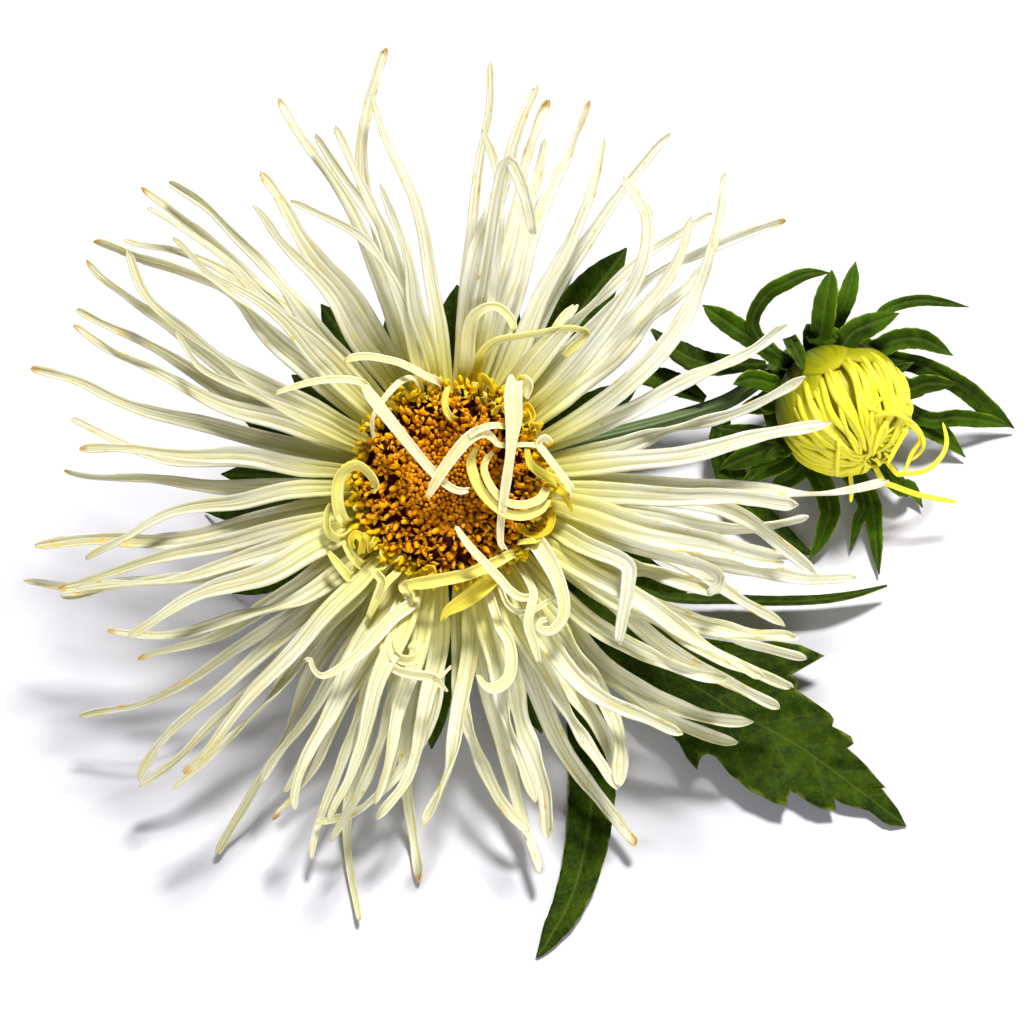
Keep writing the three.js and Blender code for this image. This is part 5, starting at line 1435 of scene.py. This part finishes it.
def make_involucre(sizes, colours):
    finish = leaf_finish(colours)
    form = Form()
    top = -DISH_DEPTH - GAP
    profile = [(0.01, -CUP_DEPTH), (STEM_RADIUS + 0.4, -CUP_DEPTH), (4.6, -15.2), (7, -13.4), (9.6, -12.2),
               (11.5, top - 2.4), (12.6, top), (0.01, top)]
    rings = turned_rings(profile, HEAD, AXIS, RIGHT, 48)
    form.add_tube(rings[:, ::-1], ring_uvs(rings), edge=0.3, phase=0.5, under=0.5)
    thickness = sizes.bract_thickness / MM
    t = np.linspace(0, 1, 36)
    for i, (azimuth, reach, out, width) in enumerate(BLOOM_BRACTS):
        generator = np.random.default_rng(BLOOM_BRACT_SEED + i)
        stations = ((9.5, -11.4), (0.5 * reach, -13), (0.72 * reach, 0.5 * out - 6), (reach, out))
        angle = math.radians(azimuth)
        points = [face_point(r * math.cos(angle), r * math.sin(angle), w) for r, w in stations]
        half = leaf_half(t, 1.25 * width, 0.62, 0.4, 2.6)
        add_blade(form, arch_path(points, len(t)), AXIS, half, thickness, generator,
                  curl=generator.uniform(-0.1, 0.2))
    place_form("involucre_bracts", form, finish, "foliage", "involucre")


def make_stem(sizes, colours):
    ribs, height = sizes.stem_ribs, sizes.stem_rib_height
    form = Form()
    path = smooth_path(STEM_PATH, STEM_STEPS)
    path[:, 2] = np.maximum(path[:, 2], STEM_RADIUS)
    rings = stalk_rings(path, np.full(len(path), STEM_RADIUS / (1 + height)), ribs, height)
    cut = np.zeros((len(path), 1))
    cut[-1] = 1
    form.add_tube(rings, ring_uvs(rings), cut=cut)
    seen = [low_point(*point) for point in BRANCH_SEEN]
    neck = [bud_point(along * BUD_RADIUS, reach * BUD_RADIUS, 0) for along, reach in BRANCH_NECK]
    branch = smooth_path([BRANCH_FOOT, *seen, *neck], STEM_STEPS)
    t = np.linspace(0, 1, STEM_STEPS)
    radii = BRANCH_RADIUS * (1 + 0.35 * rise(t, 0.9, 1) + 0.3 * (1 - rise(t, 0, 0.1)))
    rings = stalk_rings(branch, radii, ribs, height)
    form.add_tube(rings, ring_uvs(rings), cut=0.0)
    place_form("flower_stem", form, stem_finish(colours), "stem", "stem")


def rib_partners(rib, edge):
    """Edge points with the share of the midrib that each one's side vein leaves from"""
    tangents = unit(np.gradient(rib, axis=0))
    shares = []
    for point in edge:
        offset = point - rib
        ahead = np.sum(offset * tangents, axis=1)
        aside = np.abs(offset[:, 0] * tangents[:, 1] - offset[:, 1] * tangents[:, 0])
        behind = np.nonzero(np.arctan2(aside, ahead) >= VEIN_SLANT)[0]
        shares.append((behind[0] if len(behind) else len(rib) - 1) / (len(rib) - 1))
    shares = np.maximum.accumulate(np.array(shares))
    return shares + np.arange(len(shares)) * 1e-5


def fine_outline(outline, step=0.35):
    """The outline's corners, with points between them"""
    points = [np.array(outline[0], float)]
    for start, end in zip(outline, outline[1:]):
        start, end = np.array(start, float), np.array(end, float)
        count = max(1, math.ceil(np.linalg.norm(end - start) / step))
        points += [start + (end - start) * (k + 1) / count for k in range(count)]
    return np.array(points)


def toothed_side(middle, shares, edge, partners, veins, sign, length):
    """Half of the toothed leaf from its midrib to an edge: points, UVs, phase of the veins, edge shares"""
    fractions = np.linspace(0, 1, 10)
    rim = np.stack([np.interp(shares, partners, column) for column in edge.T], axis=1)
    seen = middle[:, None, :2] + fractions[None, :, None] * (rim - middle[:, :2])[:, None]
    reach = np.linalg.norm(rim - middle[:, :2], axis=1)
    phase = np.interp(shares, (0, *veins, 1), np.arange(len(veins) + 2))
    fold = 0.8 * np.sin(math.pi * shares)
    ripple = np.cos(2 * math.pi * phase) * np.minimum(1, reach / 6)
    wave = np.sin(5 * shares + sign) * np.minimum(1, reach / 6)
    height = (middle[:, 2, None] + fold[:, None] * fractions
              - 0.16 * ripple[:, None] * np.sin(math.pi * fractions) ** 0.8
              + 0.35 * wave[:, None] * fractions ** 2)
    points = low_point(seen[..., 0], seen[..., 1], np.maximum(height, LOWEST_BLADE))
    aside = 0.5 + sign * fractions * reach[:, None] / UV_WIDTH
    uvs = np.stack([aside, shares[:, None] * length / UV_LENGTH + 0 * height], axis=-1)
    return points, uvs, phase[:, None] + 0 * height, fractions + 0 * height


def make_toothed_leaf(sizes, colours):
    rib = smooth_path(TOOTHED_RIB, 400)
    edges = [fine_outline(outline) for outline in (TOOTHED_UPPER, TOOTHED_LOWER)]
    partners = [rib_partners(rib[:, :2], edge) for edge in edges]
    shares = np.unique(np.concatenate([*partners, np.linspace(0, 1, 60)]))
    shares = shares[shares <= 1]
    stops = np.linspace(0, 1, len(rib))
    middle = np.stack([np.interp(shares, stops, column) for column in rib.T], axis=1)
    length = length_of(rib[:, :2])
    halves = [
        toothed_side(middle, shares, edge, partner, veins, sign, length)
        for edge, partner, veins, sign in zip(edges, partners, (UPPER_VEINS, LOWER_VEINS), (-1, 1))
    ]
    grid, uvs, phase, edge = (
        np.concatenate([upper[:, :0:-1], lower], axis=1) for upper, lower in zip(*halves)
    )
    thin = (sizes.leaf_thickness / MM * (1 - 0.6 * edge ** 6))[..., None] * SKYWARD
    form = Form()
    form.add_sheet(grid + thin / 2, grid - thin / 2, uvs, edge=edge, phase=phase)
    place_form("toothed_leaf", form, leaf_finish(colours), "foliage", "leaf_toothed")


def make_plain_leaves(sizes, colours):
    finish = leaf_finish(colours)
    for i, (node, (face, *points)) in enumerate(PLAIN_LEAVES.items()):
        form = Form()
        generator = np.random.default_rng(PLAIN_LEAF_SEED + i)
        path = smooth_path([(*low_point(*point[:3]), point[3]) for point in points], 70)
        add_blade(form, path[:, :3], face, path[:, 3] / 2, sizes.leaf_thickness / MM, generator, fold=0.2,
                  teeth=0.035)
        place_form(node + "_blade", form, finish, "foliage", node)


def globe_point(polar, azimuth, radius):
    """A point round the bud's centre: polar angle from its tip, azimuth round it"""
    return bud_point(radius * np.cos(polar), radius * np.sin(polar), azimuth)


def globe_arc(start, end, shares):
    """Directions on the shortest way over a globe from one direction to another"""
    angle = math.acos(np.clip(start.dot(end), -1, 1))
    way = np.sin((1 - shares) * angle)[:, None] * start + np.sin(shares * angle)[:, None] * end
    return way / math.sin(angle)


def petal_tube(path, faces, radii):
    """Rings of a furled ray, flatter than wide, and how far each point of a ring stands up"""
    tangents = tangents_along(path)
    normals = unit(faces - np.sum(faces * tangents, axis=1, keepdims=True) * tangents)
    across = np.cross(tangents, normals)
    angle = np.linspace(0, 2 * math.pi, 10, endpoint=False)
    stands = 0.5 + 0.5 * np.cos(angle)
    out = 0.8 * np.cos(angle)[None, :, None] * normals[:, None]
    aside = np.sin(angle)[None, :, None] * across[:, None]
    closing = np.ones(len(path))
    closing[-1], closing[-2] = 0.25, 0.75
    return path[:, None] + (radii * closing)[:, None, None] * (out + aside), stands[None, :]


def add_furled_ray(form, azimuth, layer, generator):
    """A furled ray over the bud, from its cup to where it gathers with the others"""
    t = np.linspace(0, 1, 28)
    start = unit(globe_point(math.radians(generator.uniform(104, 122)), azimuth, 1.0) - BUD_CENTRE)
    if start.dot(BUD_FLOW) < 0.25:
        end = unit(BUD_GATHER + generator.normal(0, 0.1, 3))
    else:
        end = unit(BUD_AXIS + generator.normal(0, 0.16, 3))
    way = globe_arc(start, end, t * generator.uniform(0.82, 1))
    swing = np.cross(start, end) * (0.06 * np.sin(2.6 * t * math.pi + generator.uniform(0, 6)))[:, None]
    way = unit(way + swing * np.sin(math.pi * t)[:, None])
    radius = BUD_RADIUS - 0.8 + 0.42 * layer + generator.uniform(0, 0.25) - 0.8 * rise(t, 0.86, 1)
    radius = radius - 0.9 * (1 - rise(t, 0.08, 0.36))
    path = BUD_CENTRE + radius[:, None] * way
    width = generator.uniform(0.46, 0.62) * (0.7 + 0.3 * rise(t, 0, 0.2)) * (1 - 0.4 * rise(t, 0.55, 1))
    rings, stands = petal_tube(path, way, width)
    # Olive at the foot, and painted olive shade on the side of the ray turned in towards the bud
    crease = 0.85 * (1 - rise(t, 0.1, 0.5))[:, None] + 0.22 * (1 - stands)
    form.add_tube(rings, ring_uvs(rings), crease=np.clip(crease, 0, 1), tint=generator.uniform())


def add_bud_curl(form, width, points):
    """A ray of the bud that has come loose, with its foot inside the bud"""
    path = smooth_path([low_point(*point) for point in points], 40)
    foot = path[0] + (BUD_CENTRE - path[0]) * 0.2
    path = smooth_path([foot, *path[::3]], 44)
    _, normals, _ = frames_along(path, AXIS, carried=True)
    t = np.linspace(0, 1, len(path))
    rings, stands = petal_tube(path, normals, 0.5 * width * (1 - 0.4 * rise(t, 0.8, 1)))
    # Painted olive shade on the side of the curl turned away from the viewer
    form.add_tube(rings, ring_uvs(rings), crease=0.25 * (1 - stands), tint=0.5)


def make_bud_petals(sizes, colours):
    form = Form()
    profile = [(0.01, BUD_FOOT * BUD_RADIUS), (4.4, -0.84 * BUD_RADIUS), (7.4, -7), (9.3, -3.6), (9.9, 0),
               (9.2, 3.6), (6.5, 6.9), (3.4, 8), (0.01, 8.2)]
    core = turned_rings(profile, BUD_CENTRE, BUD_AXIS, BUD_ACROSS, 40)
    # The core under the rays is painted mostly olive, as shade between them
    form.add_tube(core[:, ::-1], ring_uvs(core), crease=0.7, tint=0.5)
    for i in range(sizes.bud_petals):
        generator = np.random.default_rng(BUD_PETAL_SEED + i)
        azimuth = 2 * math.pi * (i + generator.uniform(-0.3, 0.3)) / sizes.bud_petals
        add_furled_ray(form, azimuth, i * 5 % 3, generator)
    for width, *points in BUD_CURLS:
        add_bud_curl(form, width, points)
    place_form("bud_petals", form, bud_petal_finish(colours), "bud_petals", "bud_florets")


def make_bud_scales(sizes, colours):
    """Thin scales that hug the bud from its cup"""
    form = Form()
    profile = [(max(0.01, reach * BUD_RADIUS), along * BUD_RADIUS) for along, reach in BUD_CUP]
    rings = turned_rings(profile, BUD_CENTRE, BUD_AXIS, BUD_ACROSS, 32)
    # The cup takes the green of the scales' feet, with its painted shade, so its UVs stay near 0 along
    form.add_tube(rings[:, ::-1], ring_uvs(rings) * (1, 0.05), edge=0.0, under=0.0)
    count = sizes.bud_scales
    foot = math.radians(160)
    t, u = np.linspace(0, 1, 18), np.linspace(-1, 1, 9)
    spread = 0.42 * np.clip(1 - ((t - 0.45) / 0.56) ** 2, 0.01, 1) ** 0.7 * 2 * math.pi / count * 2.5
    uvs = np.stack(np.broadcast_arrays((u / 2 + 0.5)[None, :], t[:, None] * 0.15), axis=-1)
    edge = np.maximum(np.abs(u)[None, :], rise(t, 0.6, 1)[:, None])
    for i in range(count):
        generator = np.random.default_rng(BUD_SCALE_SEED + i)
        end = math.radians(generator.uniform(66, 86))
        polar = (foot + (end - foot) * t)[:, None]
        azimuth = 2 * math.pi * i / count + spread[:, None] * u
        radius = BUD_RADIUS + 0.2 + 0.18 * (i % 2) - 0.15 * rise(t, 0.7, 1)[:, None] - 0.2 * u ** 2
        upper, lower = (globe_point(polar, azimuth, radius - depth)[:, ::-1] for depth in (0, 0.25))
        form.add_sheet(upper, lower, uvs, edge=edge)
    place_form("bud_scales", form, bud_scale_finish(colours), "foliage", "bud_bracts")


def make_bud_bracts(sizes, colours):
    form = Form()
    t = np.linspace(0, 1, 44)
    for i, (width, *seen) in enumerate(BUD_BRACTS):
        generator = np.random.default_rng(BUD_BRACT_SEED + i)
        seen = [low_point(*point) for point in seen]
        offset = seen[0] - BUD_CENTRE
        outwards = unit(offset - offset.dot(BUD_AXIS) * BUD_AXIS)
        foot = [BUD_CENTRE + along * BUD_AXIS + out * outwards for along, out in ((-10.8, 3.6), (-10.2, 9.4))]
        path = smooth_path([*foot, *seen], len(t))
        half = leaf_half(t, width, 0.66, 0.5, generator.uniform(2, 3.2))
        add_blade(form, path, AXIS, half, sizes.bract_thickness / MM, generator,
                  fold=generator.uniform(0.05, 0.3), curl=generator.uniform(-0.15, 0.2),
                  twist=generator.normal(0, 0.25), teeth=0.04)
    place_form("bud_bract_leaves", form, leaf_finish(colours, 0.7), "foliage", "bud_bracts")


# Place from the bloom's centre, diameter in metres and tint of the main light and of the front fill
WINDOW_OFFSET = (0.37, 0.8, 1.85)
WINDOW_SIZE = 0.46
WINDOW_TINT = (1, 0.985, 0.95)
FILL_OFFSET = (0.12, -0.8, 0.24)
FILL_SIZE = 0.45
FILL_TINT = (0.97, 0.98, 1)
# In millimetres
FLOOR_THICKNESS = 5


def add_light(name, offset, size, power, colour):
    """A round light at an offset from the bloom, aimed at it"""
    light = bpy.data.lights.new(name, "AREA")
    light.shape = "DISK"
    light.size = size
    light.energy = power
    light.color = colour
    lamp = bpy.data.objects.new(name, light)
    bpy.context.scene.collection.objects.link(lamp)
    target = HEAD * MM
    lamp.location = target + np.array(offset)
    direction = (Vector(target) - lamp.location).normalized()
    lamp.rotation_euler = direction.to_track_quat("-Z", "Y").to_euler()


def add_floor(scene, stage):
    form = Form()
    reach = stage.floor_reach / MM
    corners = np.array([[[side, ahead, 0] for side in (-reach, reach)] for ahead in (-reach, reach)], float)
    form.add_sheet(corners, corners - FLOOR_THICKNESS * SKYWARD, np.zeros((2, 2, 2)))
    finish = Finish("floor", Roughness=0.9, Specular_IOR_Level=0.1)
    finish.colour(finish.mix(finish.noise(3, 2) * 0.02, stage.floor_colour, (0.85, 0.85, 0.87)))
    floor = bpy.data.objects.new("floor", form.mesh("floor"))
    floor.data.materials.append(finish.material)
    scene.collection.objects.link(floor)


def add_sky(scene, stage):
    world = bpy.data.worlds.new("daylight")
    world.use_nodes = True
    background = world.node_tree.nodes["Background"]
    background.inputs["Color"].default_value = (*stage.sky_colour, 1)
    background.inputs["Strength"].default_value = stage.sky_strength
    scene.world = world


def add_camera(scene, stage):
    camera = bpy.data.cameras.new("camera")
    camera.lens = stage.lens
    camera.sensor_width = 36
    camera.clip_start, camera.clip_end = 0.01, 20
    viewer = bpy.data.objects.new("camera", camera)
    place = head_point(*VIEW_MIDDLE, VIEW_DISTANCE) * MM
    rows = [(RIGHT[i], UP[i], AXIS[i], place[i]) for i in range(3)]
    viewer.matrix_world = Matrix(rows + [(0, 0, 0, 1)])
    scene.collection.objects.link(viewer)
    scene.camera = viewer


def make_stage(scene, stage):
    """Pale floor, soft light and the photograph's camera"""
    add_floor(scene, stage)
    add_sky(scene, stage)
    add_light("window", WINDOW_OFFSET, WINDOW_SIZE, stage.window_power, WINDOW_TINT)
    add_light("front fill", FILL_OFFSET, FILL_SIZE, stage.fill_power, FILL_TINT)
    add_camera(scene, stage)
    scene.view_settings.view_transform = "Standard"


def a_length(name, description, default):
    return FloatProperty(name=name, description=description, default=default, min=0, unit="LENGTH",
                         precision=5)


def a_share(name, description, default):
    return FloatProperty(name=name, description=description, default=default, min=0, max=1)


def a_turn(name, description, degrees):
    return FloatProperty(name=name, description=description, default=math.radians(degrees), subtype="ANGLE")


def a_count(name, description, default):
    return IntProperty(name=name, description=description, default=default, min=1)


def a_colour(name, description, code):
    return FloatVectorProperty(name=name, description=description, default=linear(code), subtype="COLOR",
                               min=0, max=1)


def an_amount(name, description, default, unit="NONE"):
    return FloatProperty(name=name, description=description, default=default, min=0, unit=unit)


class AsterSizes(bpy.types.PropertyGroup):
    """Sizes and counts of the flower's pieces"""

    ray_thickness: a_length("Ray thickness", "Thickness of a ray floret at its middle", 0.0003)
    ray_roll: a_turn("Ray roll", "Angle that a ray's sides are rolled up through", 90)
    ray_twist: a_turn("Ray twist", "Usual turn of a ray from foot to tip", 22)
    ray_groove: a_share("Ray groove", "Depth of a ray's grooves, as a share of its width", 0.04)
    rim_curls: a_count("Rim curls", "Number of short curls round the disc", 46)
    closed_florets: a_count("Closed florets", "Number of closed florets in the disc's middle", 460)
    bead_florets: a_count("Bead florets", "Number of florets round them that show a round head", 300)
    open_florets: a_count("Open florets", "Number of florets round them with open lobes", 84)
    floret_styles: a_count("Floret styles", "Number of thin styles between the florets", 110)
    leaf_thickness: a_length("Leaf thickness", "Thickness of the leaves", 0.0004)
    bract_thickness: a_length("Bract thickness", "Thickness of the leafy bracts", 0.00035)
    stem_ribs: a_count("Stem ribs", "Number of ribs round the stem", 9)
    stem_rib_height: a_share("Stem rib height", "Height of the ribs, as a share of its radius", 0.05)
    bud_petals: a_count("Bud petals", "Number of furled rays on the bud", 130)
    bud_scales: a_count("Bud scales", "Number of thin scales that hug the bud", 11)


class AsterColours(bpy.types.PropertyGroup):
    """Colours of the flower's finishes"""

    petal_cream: a_colour("Ray cream", "Lit parts of the long rays", "eae9d6")
    petal_shade: a_colour("Ray shade", "Greyer streaks of the rays", "ccc8a2")
    petal_warm: a_colour("Ray warm", "Streaks of the rays that have warmed", "dcc8a4")
    # Painted shade: the darker beige of the rays on the bloom's left side
    petal_aged: a_colour("Ray aged", "Rays of the side that has aged", "bcb8a0")
    petal_yellow: a_colour("Ray yellow", "Rays a little above the foot", "e0dc88")
    petal_foot: a_colour("Ray foot", "Foot of the rays", "cebd20")
    # Painted shade in the creases of the long rays, also used for their worn rims
    petal_crease_shade_and_rim: a_colour("Ray crease", "Creases of the rays", "a8a548")
    petal_bruise: a_colour("Ray bruise", "Small bruises on the rays", "dabd50")
    petal_brown: a_colour("Ray brown", "Withered tips of the rays", "b88a24")
    curl_white: a_colour("Curl white", "Lit parts of the curled rays", "faf5cc")
    curl_shade: a_colour("Curl shade", "Streaks of the curled rays", "eee69a")
    # Yellow near the foot of the curled rays, and painted translucent shade in their hollows
    curl_yellow: a_colour("Curl yellow", "Curled rays near the foot and inside", "e4da58")
    curl_gold: a_colour("Curl gold", "Yellowest curls round the disc", "dcb808")
    # Painted shade in the creases of the curled rays, also used for their worn rims
    curl_crease_shade_and_rim: a_colour("Curl crease", "Creases of the curled rays", "d8cb48")
    floret_orange: a_colour("Floret orange", "Darker disc florets", "cc7c04")
    floret_gold: a_colour("Floret gold", "Lighter disc florets", "fab81a")
    floret_rim: a_colour("Floret rim", "Disc florets at the rim", "ecd018")
    floret_middle: a_colour("Floret middle", "Closed florets in the disc's middle", "ae6603")
    # Painted shade between the disc florets, at the rim and in the disc's middle
    floret_gap_shade: a_colour("Floret gap", "Between the disc florets", "4e1a02")
    floret_middle_gap_shade: a_colour("Floret glow", "Between the closed florets in the middle", "7c3e03")
    leaf_dark: a_colour("Leaf dark", "Deep parts of the leaves", "182803")
    leaf_green: a_colour("Leaf green", "Middle green of the leaves", "384c07")
    leaf_vein: a_colour("Leaf vein", "Veins of the leaves", "5c7030")
    leaf_edge: a_colour("Leaf edge", "Edges and teeth of the leaves", "727c2a")
    leaf_under: a_colour("Leaf underside", "Underside of the leaves", "4a5c34")
    bract_green: a_colour("Bract green", "Fresh green patches of the bud's bracts", "42680c")
    bract_rim: a_colour("Bract rim", "Pale rims of the bud's bracts", "94a42a")
    stem_green: a_colour("Stem green", "Stem between its ribs", "30440f")
    stem_light: a_colour("Stem light", "Ribs of the stem", "57702a")
    stem_cut: a_colour("Stem cut", "Cut end of the stem", "c9cf9a")
    bud_yellow: a_colour("Bud yellow", "Furled rays of the bud", "fff428")
    bud_light: a_colour("Bud light", "Lighter streaks of the bud's rays", "fef480")
    # Olive feet of the bud's rays, and painted shade on their inner sides and the core
    bud_olive_and_shade: a_colour("Bud olive", "Creases and feet of the bud's rays", "96900c")
    # Green of the scales' feet, darkened as painted shade
    scale_green_and_shade: a_colour("Scale green", "Thin scales round the bud, at the foot", "3e520a")
    scale_light: a_colour("Scale light", "Upper parts of the scales", "94940c")
    scale_edge: a_colour("Scale edge", "Edges of the scales", "c8c020")


class AsterStage(bpy.types.PropertyGroup):
    """Floor, light and camera"""

    floor_reach: a_length("Floor reach", "Half the floor's side", 1.5)
    floor_colour: a_colour("Floor", "Colour of the floor", "d4d3da")
    sky_colour: a_colour("Sky", "Colour of the light from all sides", "f2f4ff")
    sky_strength: an_amount("Sky strength", "Light from all sides", 0.11)
    window_power: an_amount("Window power", "Power of the main light", 69, "POWER")
    fill_power: an_amount("Fill power", "Power of the front fill", 4.3, "POWER")
    lens: FloatProperty(name="Lens", description="Focal length in millimetres", default=100, min=10)


class PieceOperator:
    """Runs the functions that make a piece or a group of pieces"""

    makers = ()

    def execute(self, context):
        for make in self.makers:
            make(context.scene.aster_sizes, context.scene.aster_colours)
        return {"FINISHED"}


class ASTER_OT_stage(bpy.types.Operator):
    """Makes the floor, the light and the camera"""

    bl_idname = "aster.stage"
    bl_label = "Stage"

    def execute(self, context):
        make_stage(context.scene, context.scene.aster_stage)
        return {"FINISHED"}


class ASTER_OT_outer_rays(PieceOperator, bpy.types.Operator):
    """Makes the long rays of the open bloom and the dish that they stand in"""

    bl_idname = "aster.outer_rays"
    bl_label = "Outer rays"
    makers = (make_outer_rays, make_receptacle)


class ASTER_OT_inner_rays(PieceOperator, bpy.types.Operator):
    """Makes the curled rays round and over the disc"""

    bl_idname = "aster.inner_rays"
    bl_label = "Inner rays"
    makers = (make_inner_rays,)


class ASTER_OT_disc(PieceOperator, bpy.types.Operator):
    """Makes the dome of disc florets"""

    bl_idname = "aster.disc"
    bl_label = "Disc"
    makers = (make_disc,)


class ASTER_OT_involucre(PieceOperator, bpy.types.Operator):
    """Makes the cup and the leafy bracts under the bloom"""

    bl_idname = "aster.involucre"
    bl_label = "Involucre"
    makers = (make_involucre,)


class ASTER_OT_stem(PieceOperator, bpy.types.Operator):
    """Makes the stem and the side branch"""

    bl_idname = "aster.stem"
    bl_label = "Stem"
    makers = (make_stem,)


class ASTER_OT_leaves(PieceOperator, bpy.types.Operator):
    """Makes the toothed leaf and the plain leaves"""

    bl_idname = "aster.leaves"
    bl_label = "Leaves"
    makers = (make_toothed_leaf, make_plain_leaves)


class ASTER_OT_bud(PieceOperator, bpy.types.Operator):
    """Makes the bud's furled rays, its scales and its leafy bracts"""

    bl_idname = "aster.bud"
    bl_label = "Bud"
    makers = (make_bud_petals, make_bud_scales, make_bud_bracts)


OPERATORS = (ASTER_OT_stage, ASTER_OT_outer_rays, ASTER_OT_inner_rays, ASTER_OT_disc, ASTER_OT_involucre,
             ASTER_OT_stem, ASTER_OT_leaves, ASTER_OT_bud)


class ASTER_PT_flower(bpy.types.Panel):
    """Lists the flower's pieces with their sizes and colours"""

    bl_idname = "ASTER_PT_flower"
    bl_label = "Quilled aster"
    bl_space_type = "VIEW_3D"
    bl_region_type = "UI"
    bl_category = "Aster"

    def draw(self, context):
        scene = context.scene
        for operator in OPERATORS:
            self.layout.operator(operator.bl_idname)
        for group in (scene.aster_sizes, scene.aster_colours, scene.aster_stage):
            box = self.layout.box()
            for name in group.__annotations__:
                box.prop(group, name)


CLASSES = (AsterSizes, AsterColours, AsterStage, *OPERATORS, ASTER_PT_flower)


def register():
    for cls in CLASSES:
        bpy.utils.register_class(cls)
    bpy.types.Scene.aster_sizes = PointerProperty(type=AsterSizes)
    bpy.types.Scene.aster_colours = PointerProperty(type=AsterColours)
    bpy.types.Scene.aster_stage = PointerProperty(type=AsterStage)


def unregister():
    del bpy.types.Scene.aster_sizes
    del bpy.types.Scene.aster_colours
    del bpy.types.Scene.aster_stage
    for cls in reversed(CLASSES):
        bpy.utils.unregister_class(cls)


def main():
    register()
    for operator in OPERATORS:
        category, name = operator.bl_idname.split(".")
        getattr(getattr(bpy.ops, category), name)()


if __name__ == "__main__":
    main()
